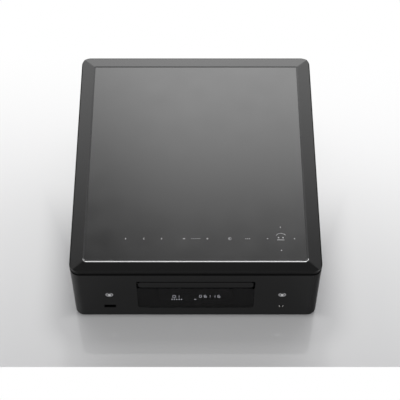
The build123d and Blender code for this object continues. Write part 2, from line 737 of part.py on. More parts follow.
def display_window():
    """The smoked window under the tray slot, held by a flange behind the panel."""
    z1 = SLOT_Z0
    h = z1 - WINDOW_Z0 - SEAT_GAP
    w = WINDOW_W - 2 * SEAT_GAP
    mid = WINDOW_Z0 + SEAT_GAP + h / 2
    pane = front_plate(0, mid, w, h, 0.4, FRONT_Y, FRONT_IN)
    for side in (-1, 1):
        x0, x1 = sorted((side * (w / 2 - WINDOW_R), side * (w / 2 + 1)))
        z0 = WINDOW_Z0 + SEAT_GAP
        corner = block(x0, x1, FRONT_Y - 1, FRONT_IN, z0 - 1, z0 + WINDOW_R)
        pane -= corner - rod_y(side * (w / 2 - WINDOW_R), z0 + WINDOW_R, FRONT_Y - 1, FRONT_IN, WINDOW_R)
    flange = block(-w / 2 - WINDOW_FLANGE, w / 2 + WINDOW_FLANGE, FRONT_IN, FRONT_IN + WINDOW_FLANGE_T,
                   WINDOW_Z0 - WINDOW_FLANGE, z1 - 1.0)
    return pane + flange


def display_module():
    """The display panel behind the window, on the front board."""
    y0 = FRONT_BOARD_Y - DISPLAY_T
    module = front_plate(0, DISPLAY_Z, DISPLAY_W, DISPLAY_H, 0.8, y0, FRONT_BOARD_Y)
    bezel = front_plate(0, DISPLAY_Z + 1, DISPLAY_W - 8, DISPLAY_H - 8, 0.5, y0 - 1, y0 + 0.4)
    return module - bezel


def front_board():
    """The upright circuit board behind the panel, with its two key switches and ribbon socket."""
    mid = (FRONT_BOARD_Z0 + FRONT_BOARD_Z1) / 2
    high = FRONT_BOARD_Z1 - FRONT_BOARD_Z0
    board = front_plate(0, mid, FRONT_BOARD_W, high, 2, FRONT_BOARD_Y, FRONT_BOARD_Y + BOARD_T)
    board -= front_plate(USB_X, USB_Z, USB_W + 0.6, USB_H + 0.6, 0.5, FRONT_BOARD_Y - 1, FRONT_BOARD_Y + 3)
    board -= front_plate(JACK_X, JACK_Z, JACK_BODY + 0.6, JACK_BODY + 0.6, 0.5, FRONT_BOARD_Y - 1,
                         FRONT_BOARD_Y + 3)
    switch_y = button_stem_end() + BUTTON_TRAVEL + 0.2
    for side in (-1, 1):
        x0 = side * BUTTON_X - SWITCH_SIZE / 2
        board += block(x0, x0 + SWITCH_SIZE, switch_y + 0.2, FRONT_BOARD_Y, BUTTON_Z - SWITCH_SIZE / 2,
                       BUTTON_Z + SWITCH_SIZE / 2)
        board += rod_y(side * BUTTON_X, BUTTON_Z, switch_y, FRONT_BOARD_Y, 1.5)
    return board + block(-12, 12, FRONT_BOARD_Y + BOARD_T, FRONT_BOARD_Y + BOARD_T + 4, 16, 21)


def button_stem_end():
    """Where a button's stem ends at rest, behind its collar."""
    return FRONT_IN + SEAT_GAP + BUTTON_COLLAR_T + 1.4


def button(side):
    """A round metal button with a dished face, a collar behind the panel and a stem."""
    x = side * BUTTON_X
    collar_y = FRONT_IN + SEAT_GAP
    cap = rod_y(x, BUTTON_Z, FRONT_Y + 0.1, collar_y, BUTTON_R)
    cap = fillet(cap.edges().sort_by(Axis.Y)[0], 0.5)
    dish = Pos(x, FRONT_Y + 0.1 - 19.5, BUTTON_Z) * Sphere(20.0)
    cap += rod_y(x, BUTTON_Z, collar_y, collar_y + BUTTON_COLLAR_T, BUTTON_R + BUTTON_COLLAR)
    cap += rod_y(x, BUTTON_Z, collar_y + BUTTON_COLLAR_T, button_stem_end(), BUTTON_STEM_R)
    return cap - dish


def usb_socket():
    """The USB socket: a folded metal shell, its back block and the contact tongue."""
    y0, y1 = FRONT_Y + 0.3, FRONT_Y + 0.3 + USB_DEPTH
    shell = front_plate(USB_X, USB_Z, USB_W, USB_H, 0.5, y0, y1)
    shell -= front_plate(USB_X, USB_Z, USB_W - 2 * USB_WALL, USB_H - 2 * USB_WALL, 0.3, y0 - 1, y1 - 3)
    tongue = block(USB_X - 5.5, USB_X + 5.5, y0 + 1.2, y1 - 2.5, USB_Z + 0.4, USB_Z + 1.8)
    return shell + tongue


def headphone_jack():
    """The 3.5 mm headphone socket: a metal collar in the panel and a square body behind it."""
    collar = rod_y(JACK_X, JACK_Z, FRONT_Y + 0.1, FRONT_IN + 0.6, JACK_R)
    collar = chamfer(collar.edges().sort_by(Axis.Y)[0], 0.4)
    half = JACK_BODY / 2
    body = block(JACK_X - half, JACK_X + half, FRONT_IN + 0.6, JACK_END, JACK_Z - half, JACK_Z + half)
    return collar + body - rod_y(JACK_X, JACK_Z, FRONT_Y - 1, FRONT_Y + 0.1 + JACK_DEPTH, JACK_BORE_R)


# Disc loader

def tray_front():
    """The tray's front strip, which fills the slot with an even gap."""
    w = SLOT_W - 2 * TRAY_FRONT_SIDE
    h = SLOT_H - 2 * TRAY_FRONT_GAP
    strip = front_plate(0, SLOT_Z0 + SLOT_H / 2, w, h, 1.4, TRAY_FRONT_Y, TRAY_Y0)
    front = strip.faces().sort_by(Axis.Y)[0]
    return chamfer(front.edges(), 0.35)


def cam_line(z0, z1, offset, thick):
    """A straight wall that runs beside the cam slider's pin as the tray moves."""
    angle = math.degrees(math.atan2(CAM_TRAVEL, TRAY_TRAVEL))
    length = math.hypot(CAM_TRAVEL, TRAY_TRAVEL)
    mid_x = CAM_PIN_X - CAM_TRAVEL / 2
    mid_y = CAM_PIN_Y + TRAY_TRAVEL / 2
    wall = Pos(offset, 0, (z0 + z1) / 2) * Box(thick, length + 8, z1 - z0)
    return Pos(mid_x, mid_y, 0) * Rot(0, 0, angle) * wall


def disc_tray():
    """The sliding tray: two disc wells, a slot for the pickup, a rack and a cam channel below."""
    half = TRAY_W / 2
    tray = block(-half, half, TRAY_Y0, TRAY_REAR, TRAY_Z0, TRAY_Z1)
    tray = fillet(tray.edges().filter_by(Axis.Z).sort_by(Axis.Y)[2:], 4.0)
    tray -= block(-half + TRAY_WALL, half - TRAY_WALL, TRAY_Y0 + TRAY_WALL, TRAY_REAR - TRAY_WALL,
                  TRAY_Z0 - 1, UNDER_Z)
    tray -= rod_z(0, DISC_Y, WELL_Z, TRAY_Z1 + 1, WELL_R)
    tray -= rod_z(0, DISC_Y, WELL_Z - SMALL_WELL_DEPTH, TRAY_Z1 + 1, SMALL_WELL_R)
    slot_half = PICKUP_SLOT_W / 2
    tray -= rod_z(0, DISC_Y, TRAY_Z0 - 1, TRAY_Z1 + 1, slot_half)
    tray -= block(-slot_half, slot_half, DISC_Y, PICKUP_SLOT_REAR, TRAY_Z0 - 1, TRAY_Z1 + 1)
    tray -= block(-slot_half, slot_half, PICKUP_SLOT_REAR - 1, TRAY_REAR + 1, BAR_Z1, TRAY_Z1 + 1)
    tray -= block(-slot_half - 2, slot_half + 2, PICKUP_SLOT_REAR - 1, TRAY_REAR + 1, TRAY_Z0 - 1,
                  BAR_Z1 - REAR_BAR_T)
    for side in (-1, 1):
        tray -= rod_z(side * (WELL_R + 4), DISC_Y, WELL_Z - 0.2, TRAY_Z1 + 1, 11.0)
    rack_back = RACK_X - 1.25 * MODULE
    rack = block(rack_back - RACK_W + 1.25, rack_back + 0.2, RACK_Y0, RACK_Y1, RACK_Z0, UNDER_Z + 0.2)
    for tooth in rack_teeth(RACK_X, RACK_Y0, RACK_Y1, GEAR_Y, RACK_Z0, UNDER_Z + 0.2, MODULE):
        rack += tooth
    tray += rack
    offset = CAM_PIN_R + CAM_PIN_RUN + RIB_T / 2
    keep = block(-half, half, TRAY_Y0, TRAY_REAR, RIB_Z0, UNDER_Z + 0.2)
    for side in (-1, 1):
        tray += cam_line(RIB_Z0, UNDER_Z + 0.2, side * offset, RIB_T) & keep
    return tray


def loader_frame():
    """The loader's moulded frame: side rails with ledges and hooks, two decks, axles and pivot ears."""
    frame = Part()
    for side in (-1, 1):
        frame += block(*sorted((side * LOADER_IN, side * LOADER_OUT)), LOADER_FRONT, LOADER_REAR,
                       LOADER_Z0, LOADER_TOP)
        frame += block(*sorted((side * (LOADER_IN - LEDGE), side * LOADER_IN)), LOADER_FRONT, LOADER_REAR,
                       TRAY_Z0 - RUN_GAP - 1.4, TRAY_Z0 - RUN_GAP)
        for y in (LOADER_FRONT, -70, -20, LOADER_REAR - 12):
            frame += block(*sorted((side * (LOADER_IN - LIP), side * LOADER_IN)), y, y + 12,
                           TRAY_Z1 + RUN_GAP, LOADER_TOP - 1)
    frame += block(-LOADER_IN, LOADER_IN, LOADER_FRONT, DECK_FRONT_END, LOADER_Z0, DECK_Z1)
    frame += block(-LOADER_IN, LOADER_IN, DECK_REAR_START, LOADER_REAR, LOADER_Z0, DECK_Z1)
    frame -= rod_z(MOTOR_X, GEAR_Y, LOADER_Z0 - 1, DECK_Z1 + 1, 3.7)
    frame += rod_z(TRAY_GEAR_X, GEAR_Y, DECK_Z1, RACK_Z0 + GEAR_T + 0.1, AXLE_R)
    frame += rod_z(PULLEY_X, GEAR_Y, DECK_Z1, PULLEY_Z + PULLEY_T + 0.6, AXLE_R)
    for x in (TRAY_GEAR_X, PULLEY_X):
        frame += rod_z(x, GEAR_Y, DECK_Z1, WHEEL_Z - 0.3, AXLE_R + 1.2)
    ear_x = TRAVERSE_W / 2 + 0.5
    for side in (-1, 1):
        ear = block(*sorted((side * ear_x, side * (ear_x + 3))), PIVOT_Y - 5, PIVOT_Y + 5, DECK_Z1,
                    PIVOT_Z + 5)
        frame += ear - rod_x(PIVOT_Y, PIVOT_Z, *sorted((side * (ear_x - 1), side * (ear_x + 4))),
                             PIVOT_R + PIVOT_RUN)
    return frame


def bracket_y(index):
    """Where the front and rear loader brackets stand."""
    return (DECK_FRONT_END - 3, LOADER_REAR - 14)[index]


def loader_bracket(index):
    """A bent steel bridge that carries the loader above the boards."""
    y = bracket_y(index)
    half = LOADER_OUT
    top = block(-half, half, y, y + 12, LOADER_Z0 - SHEET, LOADER_Z0)
    top -= block(-TRAVERSE_W / 2 - 4, TRAVERSE_W / 2 + 4, y - 1, y + 13, LOADER_Z0 - 2, LOADER_Z0 + 1)
    strip = block(-half, half, y, y + SHEET, LOADER_Z0 - 12, LOADER_Z0)
    bracket = top + strip
    for side in (-1, 1):
        bracket += block(*sorted((side * (half - SHEET), side * half)), y, y + 12, FLOOR_Z, LOADER_Z0)
        bracket += block(*sorted((side * (half - 14), side * half)), y, y + 12, FLOOR_Z, FLOOR_Z + SHEET)
    return bracket


def clamp_bridge():
    """The bar over the disc that carries the clamper in its round hole."""
    y0, y1 = DISC_Y - BRIDGE_D / 2, DISC_Y + BRIDGE_D / 2
    bar = block(-LOADER_OUT, LOADER_OUT, y0, y1, LOADER_TOP, LOADER_TOP + BRIDGE_T)
    bar = fillet(bar.edges().filter_by(Axis.Z), 3.0)
    for y in (y0 + 1, y1 - 3):
        bar += block(-LOADER_IN + 6, LOADER_IN - 6, y, y + 2, LOADER_TOP + BRIDGE_T,
                     LOADER_TOP + BRIDGE_T + 3)
    return bar - rod_z(0, DISC_Y, LOADER_TOP - 1, LOADER_TOP + BRIDGE_T + 1, BRIDGE_HOLE_R)


def revolved(x, y, points):
    """A turned piece about a vertical axis at x, y, from its half outline of radius and height."""
    outline = make_face(Polyline(*[(r, 0, z) for r, z in points], close=True))
    return Pos(x, y, 0) * revolve(outline, Axis.Z)


def clamper():
    """The disc clamper: a pad below the bridge, a neck through it and a flange above."""
    neck = BRIDGE_HOLE_R - CLAMPER_NECK_RUN
    pad_top = CLAMPER_Z0 + CLAMPER_DISC_T
    flange = LOADER_TOP + BRIDGE_T + RUN_GAP
    points = [(0, CLAMPER_Z0 + 1.2), (HUB_R + 1.2, CLAMPER_Z0 + 1.2), (HUB_R + 1.2, CLAMPER_Z0),
              (CLAMPER_R, CLAMPER_Z0), (CLAMPER_R, pad_top - 0.6), (CLAMPER_R - 0.6, pad_top),
              (neck, pad_top), (neck, flange), (CLAMPER_R, flange), (CLAMPER_R, flange + 0.9),
              (CLAMPER_R - 0.7, flange + CLAMPER_FLANGE_T), (0, flange + CLAMPER_FLANGE_T)]
    return revolved(0, DISC_Y, points)


def tray_gear():
    """The double gear that drives the tray's rack, on a post of the loader's deck."""
    x = TRAY_GEAR_X
    body = gear(x, GEAR_Y, WHEEL_Z, GEAR_T, TRAY_WHEEL_TEETH, MODULE, turn=0.0)
    body += rod_z(x, GEAR_Y, WHEEL_Z + GEAR_T, RACK_Z0, GEAR_HUB_R)
    body += gear(x, GEAR_Y, RACK_Z0, GEAR_T, TRAY_GEAR_TEETH, MODULE, turn=180.0)
    return body - rod_z(x, GEAR_Y, WHEEL_Z - 1, RACK_Z0 + GEAR_T + 1, AXLE_R + AXLE_RUN)


def pulley_gear():
    """The belt wheel with its small pinion below."""
    x = PULLEY_X
    z0, z1 = PULLEY_Z, PULLEY_Z + PULLEY_T
    mid = (z0 + z1) / 2
    body = gear(x, GEAR_Y, WHEEL_Z, GEAR_T + 1.0, PINION_TEETH, MODULE, turn=180.0 - 180.0 / PINION_TEETH)
    body += revolved(x, GEAR_Y, [(0, z0), (PULLEY_R, z0), (PULLEY_R, z0 + 0.5),
                                 (PULLEY_R - GROOVE, mid - 0.5), (PULLEY_R - GROOVE, mid + 0.5),
                                 (PULLEY_R, z1 - 0.5), (PULLEY_R, z1), (0, z1)])
    for index in range(5):
        angle = math.radians(72 * index)
        body -= rod_z(x + 8.4 * math.cos(angle), GEAR_Y + 8.4 * math.sin(angle), z0 - 0.01, z1 + 1, 2.0)
    return body - rod_z(x, GEAR_Y, WHEEL_Z - 1, z1 + 1, AXLE_R + AXLE_RUN)


def motor_pulley():
    """The grooved pulley on the loading motor's shaft."""
    z0, z1 = PULLEY_Z, PULLEY_Z + PULLEY_T
    mid = (z0 + z1) / 2
    r = MOTOR_PULLEY_R
    body = revolved(MOTOR_X, GEAR_Y, [(0, z0), (r, z0), (r, z0 + 0.5), (r - GROOVE, mid - 0.5),
                                      (r - GROOVE, mid + 0.5), (r, z1 - 0.5), (r, z1), (0, z1)])
    shaft = rod_z(MOTOR_X, GEAR_Y, LOADER_Z0 - 3, z0, SPINDLE_R)
    return body + shaft


def loading_motor():
    """The motor that hangs under the front deck."""
    can = rod_z(MOTOR_X, GEAR_Y, LOADER_Z0 - MOTOR_H, LOADER_Z0, MOTOR_R)
    can = fillet(can.edges().sort_by(Axis.Z)[0], 1.5)
    can += rod_z(MOTOR_X, GEAR_Y, LOADER_Z0, DECK_Z1 + 1.0, 3.4)
    can += block(MOTOR_X - 5, MOTOR_X + 5, GEAR_Y - MOTOR_R - 1.4, GEAR_Y - MOTOR_R + 2, LOADER_Z0 - 9,
                 LOADER_Z0 - 3)
    return can - rod_z(MOTOR_X, GEAR_Y, LOADER_Z0 - 4, DECK_Z1 + 2, SPINDLE_R + SPINDLE_RUN)


def hull_prism(r_big, r_small, z0, z1):
    """An upright prism round the belt wheel and the motor pulley."""
    big = Pos(PULLEY_X, GEAR_Y) * Circle(r_big)
    small = Pos(MOTOR_X, GEAR_Y) * Circle(r_small)
    outline = make_hull(big.edges() + small.edges())
    return Pos(0, 0, z0) * extrude(outline, amount=z1 - z0)


def drive_belt():
    """The square rubber belt that lies in both grooves."""
    mid = PULLEY_Z + PULLEY_T / 2
    z0, z1 = mid - BELT_W / 2, mid + BELT_W / 2
    big = PULLEY_R - GROOVE + RUN_GAP
    small = MOTOR_PULLEY_R - GROOVE + RUN_GAP
    loop = hull_prism(big + BELT_W, small + BELT_W, z0, z1)
    return loop - hull_prism(big, small, z0 - 1, z1 + 1)


def cam_drop():
    """How far the traverse's lift pin comes down when the tray is out."""
    return (PIVOT_Y - CAM_Y) * math.sin(math.radians(TILT_DEG))


def cam_slider():
    """The sliding plate whose slanted slot lowers the traverse's pin."""
    y0, y1 = CAM_Y - CAM_T, CAM_Y
    low = LIFT_PIN_Z - cam_drop()
    plate = block(-CAM_MARGIN - 4, CAM_TRAVEL + CAM_MARGIN + 4, y0, y1, low - CAM_MARGIN, LIFT_PIN_Z + 4)
    slot_r = AXLE_R + CAM_SLOT_RUN
    angle = math.degrees(math.atan2(cam_drop(), CAM_TRAVEL))
    length = math.hypot(cam_drop(), CAM_TRAVEL)
    mid = Pos(CAM_TRAVEL / 2, (y0 + y1) / 2, (LIFT_PIN_Z + low) / 2) * Rot(0, angle, 0)
    plate -= mid * Box(length, 6, 2 * slot_r)
    plate -= rod_y(0, LIFT_PIN_Z, y0 - 1, y1 + 1, slot_r)
    plate -= rod_y(CAM_TRAVEL, low, y0 - 1, y1 + 1, slot_r)
    foot_z = DECK_Z1 + RUN_GAP
    front = DECK_FRONT_END - 2.5
    slider = plate + block(-CAM_MARGIN - 4, CAM_PIN_X + 3, front, y0, foot_z, foot_z + 1.5)
    slider += block(CAM_TRAVEL, CAM_PIN_X + 3, y0 - 0.01, y1, foot_z, foot_z + 5)
    return slider + rod_z(CAM_PIN_X, CAM_PIN_Y, foot_z, TRAY_Z0 - 0.2, CAM_PIN_R)


def traverse_frame():
    """The tilting frame: a pressed plate with a skirt, rod lugs, pivot pins and the front lift pin."""
    half = TRAVERSE_W / 2
    z1 = TRAVERSE_Z + TRAVERSE_T
    plate = block(-half, half, TRAVERSE_FRONT, TRAVERSE_REAR, TRAVERSE_Z - TRAVERSE_SKIRT, z1)
    plate = fillet(plate.edges().filter_by(Axis.Z), 4.0)
    plate -= block(-half + TRAVERSE_T, half - TRAVERSE_T, TRAVERSE_FRONT + TRAVERSE_T,
                   TRAVERSE_REAR - TRAVERSE_T, TRAVERSE_Z - TRAVERSE_SKIRT - 1, TRAVERSE_Z)
    plate -= block(-half - 1, half + 1, TRAVERSE_REAR - REAR_SKIRT_D, TRAVERSE_REAR + 1,
                   TRAVERSE_Z - TRAVERSE_SKIRT - 1, TRAVERSE_Z - TRAVERSE_REAR_SKIRT)
    low, high = TRAVERSE_Z - TRAVERSE_SKIRT - 1, z1 + 1
    opening = OPTICS_W / 2 + 1.5
    plate -= block(-opening, opening, LENS_Y - SLED_D / 2 + 1, LENS_Y + SLED_TRAVEL + SLED_D / 2, low, high)
    plate -= rod_z(0, DISC_Y, low, high, SPINDLE_BOSS_R + 0.3)
    slot_y1 = TRAVERSE_REAR - PLATE_SLOT_IN
    for x0 in (-half + PLATE_SLOT_SIDE, half - PLATE_SLOT_SIDE - PLATE_SLOT_W):
        plate -= block(x0, x0 + PLATE_SLOT_W, slot_y1 - PLATE_SLOT_L, slot_y1, low, high)
    plate -= rod_z(SLED_GEAR_X, SLED_MOTOR_Y, low, high, 2.2)
    frame = plate
    for side in (-1, 1):
        for y in (ROD_Y0, ROD_Y1 - LUG_T):
            x = side * ROD_X
            lug = block(x - LUG_W / 2, x + LUG_W / 2, y, y + LUG_T, z1, ROD_Z + 2.4)
            frame += lug - rod_y(x, ROD_Z, y - 1, y + LUG_T + 1, ROD_R + ROD_RUN)
        frame += rod_x(PIVOT_Y, PIVOT_Z, *sorted((side * (half - 1), side * (half + 3.5))), PIVOT_R)
    frame += rod_y(0, LIFT_PIN_Z, TRAVERSE_FRONT - LIFT_PIN_L, TRAVERSE_FRONT + 1, AXLE_R)
    frame += rod_z(SLED_GEAR_X, SLED_GEAR_Y, z1, SLED_GEAR_Z + SLED_GEAR_T + 0.4, 1.0)
    return frame


def guide_rods():
    """The two polished rods that the pickup sled slides on."""
    rods = Part()
    for side in (-1, 1):
        rods += rod_y(side * ROD_X, ROD_Z, ROD_Y0 + 0.1, ROD_Y1 - 0.1, ROD_R)
    return rods


def spindle_motor():
    """The flat spindle motor under the traverse, with its bearing boss through the plate."""
    can = rod_z(0, DISC_Y, TRAVERSE_Z - SPINDLE_MOTOR_H, TRAVERSE_Z, SPINDLE_MOTOR_R)
    can = fillet(can.edges().sort_by(Axis.Z)[0], 1.0)
    can += rod_z(0, DISC_Y, TRAVERSE_Z, TRAVERSE_Z + SPINDLE_BOSS_H, SPINDLE_BOSS_R)
    return can - rod_z(0, DISC_Y, TRAVERSE_Z - 4, TRAVERSE_Z + SPINDLE_BOSS_H + 1, SPINDLE_R + SPINDLE_RUN)


def turntable():
    """The turntable with its rubber seat, centring hub and shaft."""
    z0 = DISC_Z - TURNTABLE_T
    points = [(0, z0), (TURNTABLE_R, z0), (TURNTABLE_R, DISC_Z), (HUB_R + 3, DISC_Z),
              (HUB_R + 3, DISC_Z - 0.3), (HUB_R, DISC_Z - 0.3), (HUB_R, DISC_Z + 0.6),
              (HUB_R - 1.8, HUB_TOP), (0, HUB_TOP)]
    plate = revolved(0, DISC_Y, points)
    for index in range(3):
        angle = math.radians(120 * index)
        plate -= Pos(HUB_R * math.cos(angle), DISC_Y + HUB_R * math.sin(angle), HUB_TOP) * Box(1.2, 1.2, 2.4)
    return plate + rod_z(0, DISC_Y, TRAVERSE_Z - 3, z0, SPINDLE_R)


def pickup_sled():
    """The laser pickup's moulded sled with its bores, optics block, lens holder and rack."""
    half = SLED_W / 2
    y0, y1 = LENS_Y - SLED_D / 2, LENS_Y + SLED_D / 2
    sled = block(-half, half, y0, y1, SLED_Z0, SLED_Z0 + SLED_T)
    sled = fillet(sled.edges().filter_by(Axis.Z), 2.0)
    optics = OPTICS_W / 2
    sled += block(-optics, optics, y0 + 4, y1 - 4, TRAVERSE_Z - 4, SLED_Z0)
    sled += block(-8.5, 8.5, LENS_Y - 7, LENS_Y + 7, SLED_Z0 + SLED_T, LENS_TOP - 0.8)
    for side in (-1, 1):
        sled -= rod_y(side * ROD_X, ROD_Z, y0 - 1, y1 + 1, ROD_R + ROD_RUN)
    sled -= block(-half - 1, -ROD_X, y0 - 1, y1 + 1, ROD_Z - ROD_R - ROD_RUN, ROD_Z + ROD_R + ROD_RUN)
    sled -= rod_z(0, LENS_Y, LENS_TOP - 1.8, LENS_TOP + 1, LENS_R + 0.6)
    rack_y0 = SLED_GEAR_Y - SLED_TRAVEL - 3
    rack_y1 = SLED_GEAR_Y + 3
    back = SLED_RACK_X - 1.25 * SLED_MODULE
    z0, z1 = SLED_GEAR_Z, SLED_GEAR_Z + SLED_GEAR_T
    rack = block(back - SLED_RACK_W + 1, back + 0.1, rack_y0, rack_y1, z0, z1)
    for tooth in rack_teeth(SLED_RACK_X, rack_y0, rack_y1, SLED_GEAR_Y, z0, z1, SLED_MODULE, slack=0.14):
        rack += tooth
    return sled + rack


def pickup_lens():
    """The small objective lens in the sled's holder."""
    z0 = LENS_TOP - 1.8
    return revolved(0, LENS_Y, [(0, z0), (LENS_R, z0), (LENS_R, LENS_TOP - 0.6),
                                (LENS_R - 0.8, LENS_TOP - 0.3), (0, LENS_TOP)])


def sled_gear():
    """The gear that meshes with the sled's rack."""
    body = gear(SLED_GEAR_X, SLED_GEAR_Y, SLED_GEAR_Z, SLED_GEAR_T, SLED_GEAR_TEETH, SLED_MODULE, turn=180.0)
    z1 = SLED_GEAR_Z + SLED_GEAR_T + 1
    return body - rod_z(SLED_GEAR_X, SLED_GEAR_Y, SLED_GEAR_Z - 1, z1, 1.0 + AXLE_RUN)


def sled_motor_gear():
    """The pinion on the sled motor's shaft."""
    turn = 90.0 - 180.0 / SLED_MOTOR_TEETH + sled_mesh_turn()
    x, y = SLED_GEAR_X, SLED_MOTOR_Y
    body = gear(x, y, SLED_GEAR_Z, SLED_GEAR_T, SLED_MOTOR_TEETH, SLED_MODULE, turn=turn)
    return body + rod_z(x, y, TRAVERSE_Z - 3, SLED_GEAR_Z, 0.8)


def sled_mesh_turn():
    """How far the pinion is turned so that its teeth stand in the sled gear's gaps."""
    step = 360.0 / SLED_GEAR_TEETH
    offset = (270.0 - 180.0) % step
    return -offset * SLED_GEAR_TEETH / SLED_MOTOR_TEETH


def sled_motor():
    """The small motor under the traverse that drives the sled."""
    can = rod_z(SLED_GEAR_X, SLED_MOTOR_Y, TRAVERSE_Z - SLED_MOTOR_H, TRAVERSE_Z, SLED_MOTOR_R)
    return can - rod_z(SLED_GEAR_X, SLED_MOTOR_Y, TRAVERSE_Z - 4, TRAVERSE_Z + 1, 0.8 + SPINDLE_RUN)


# Electronics

def main_board():
    """The main board with its larger chips and capacitors."""
    board = block(MAIN_X0, MAIN_X1, MAIN_Y0, MAIN_Y1, BOARD_Z, BOARD_TOP)
    for across, along, size in ((0.25, 0.28, 18.0), (0.49, 0.23, 12.0), (0.64, 0.49, 9.0), (0.2, 0.6, 20.0)):
        x, y = MAIN_X0 + across * CHIP_SPACE, MAIN_Y0 + along * MAIN_D
        board += block(x - size / 2, x + size / 2, y - size / 2, y + size / 2, BOARD_TOP, BOARD_TOP + CHIP_H)
    for column in (0.8, 0.88):
        for row in (0.19, 0.33):
            x, y = MAIN_X0 + column * CHIP_SPACE, MAIN_Y0 + row * MAIN_D
            board += rod_z(x, y, BOARD_TOP, BOARD_TOP + CAN_H, CAN_R)
    return board


def amplifier_heatsink():
    """The finned aluminium block that cools the amplifier chips."""
    x0 = HEATSINK_X - HEATSINK_W / 2
    y0 = HEATSINK_Y0
    block_wall = 4.0
    sink = block(x0, x0 + HEATSINK_W, y0, y0 + block_wall, BOARD_TOP, BOARD_TOP + HEATSINK_H)
    step = (HEATSINK_W - FIN_T) / (FIN_COUNT - 1)
    for index in range(FIN_COUNT):
        x = x0 + index * step
        sink += block(x, x + FIN_T, y0 + block_wall, y0 + HEATSINK_D, BOARD_TOP, BOARD_TOP + HEATSINK_H)
    return sink


def power_board():
    """The mains power supply board."""
    board = block(POWER_X0, POWER_X1, POWER_Y0, MAIN_Y1, BOARD_Z, BOARD_TOP)
    half = POWER_HALF - 8
    first = TRANSFORMER_Y + SINK_LEAD
    for y in (first, first + SINK_STEP):
        board += block(POWER_X - half, POWER_X + half, y, y + SINK_T, BOARD_TOP, BOARD_TOP + SINK_H)
    y = TRANSFORMER_Y + FUSE_LEAD
    half = POWER_HALF - 13
    return board + block(POWER_X - half, POWER_X + half, y, y + FUSE_D, BOARD_TOP, BOARD_TOP + CAN_H)


def transformer():
    """The switching transformer: a ferrite core round a wound bobbin."""
    half = POWER_HALF - 5
    z0, z1 = BOARD_TOP + 3, BOARD_TOP + TRANSFORMER_H
    core = block(POWER_X - half, POWER_X + half, TRANSFORMER_Y - 8, TRANSFORMER_Y + 8, z0, z1)
    half = POWER_HALF - 9
    bobbin = block(POWER_X - half, POWER_X + half, TRANSFORMER_Y - 15, TRANSFORMER_Y + 15, z0 + 3, z1 - 3)
    half = POWER_HALF - 7
    base = block(POWER_X - half, POWER_X + half, TRANSFORMER_Y - 16, TRANSFORMER_Y + 16, BOARD_TOP, z0)
    return core + fillet(bobbin.edges().filter_by(Axis.Z), 4.0) + base


def mains_capacitors():
    """The two large smoothing capacitors."""
    first = TRANSFORMER_Y - CAPACITOR_GAP
    cans = Part()
    for y in (first, first - CAPACITOR_STEP):
        can = rod_z(POWER_X, y, BOARD_TOP, BOARD_TOP + CAPACITOR_H, CAPACITOR_R)
        cans += fillet(can.edges().sort_by(Axis.Z)[-1], 1.0)
    return cans


# Rear sockets

def terminal_x(index):
    """The middle of one loudspeaker terminal."""
    return TERMINAL_X + index * TERMINAL_STEP


def terminal_block():
    """The moulded plate that holds the four loudspeaker terminals behind the rear panel."""
    x0, x1 = terminal_x(0) - 10, terminal_x(3) + 10
    y1 = REAR_Y + TERMINAL_CAP_L - BANANA_DEPTH - POST_END
    return block(x0, x1, y1 - TERMINAL_PLATE_T, y1, BOARD_TOP, SOCKET_Z + 9)


def terminal_posts():
    """Four hollow metal posts, each in an insulating collar that fills its hole in the rear panel."""
    posts = Part()
    bore_y = REAR_Y + TERMINAL_CAP_L - BANANA_DEPTH
    for index in range(4):
        x = terminal_x(index)
        post = rod_y(x, SOCKET_Z, bore_y - POST_END, REAR_Y + 0.6, TERMINAL_COLLAR_R)
        post += rod_y(x, SOCKET_Z, REAR_Y + 0.6, REAR_Y + TERMINAL_CAP_L - 1.0, TERMINAL_POST_R)
        posts += post - rod_y(x, SOCKET_Z, bore_y, REAR_Y + 30, BANANA_R)
    return posts


def terminal_cap(index):
    """A ribbed screw cap of a loudspeaker terminal, open along the post for a banana plug."""
    x = terminal_x(index)
    y0, y1 = REAR_Y + 1.0, REAR_Y + 1.0 + TERMINAL_CAP_L
    cap = rod_y(x, SOCKET_Z, y0, y1, TERMINAL_CAP_R)
    cap = chamfer(cap.edges().filter_by(GeomType.CIRCLE), 0.7)
    for rib in range(12):
        angle = math.radians(30 * rib)
        cx = x + (TERMINAL_CAP_R + 0.35) * math.cos(angle)
        cz = SOCKET_Z + (TERMINAL_CAP_R + 0.35) * math.sin(angle)
        cap -= rod_y(cx, cz, y0 - 1, y1 + 1, 0.9)
    return cap - rod_y(x, SOCKET_Z, y0 - 1, y1 + 1, TERMINAL_POST_R + TERMINAL_RUN)


def phono_jacks():
    """Four phono jacks in two rows on one upright block."""
    x0 = PHONO_X - 8
    x1 = PHONO_X + PHONO_STEP + 8
    body = block(x0, x1, REAR_Y - SHEET - 9, REAR_Y - SHEET, BOARD_TOP, SOCKET_Z + PHONO_STEP + 8)
    for column in range(2):
        for row in range(2):
            x, z = PHONO_X + column * PHONO_STEP, SOCKET_Z + row * PHONO_STEP
            body += rod_y(x, z, REAR_Y - SHEET, REAR_Y + PHONO_L, PHONO_R)
            body -= rod_y(x, z, REAR_Y - 6, REAR_Y + PHONO_L + 1, 1.75)
    return body


def optical_sockets():
    """Two optical sockets, each with a shuttered square mouth."""
    sockets = Part()
    half = OPTICAL_SIZE / 2 - SEAT_GAP
    z1 = BOARD_TOP + OPTICAL_SIZE - SEAT_GAP
    for x in optical_places():
        body = block(x - half, x + half, REAR_Y - 12, REAR_Y + 0.8, BOARD_TOP, z1)
        mouth = block(x - 3, x + 3, REAR_Y - 0.4, REAR_Y + 2, BOARD_TOP + 2, BOARD_TOP + 8)
        sockets += body - mouth
    return sockets


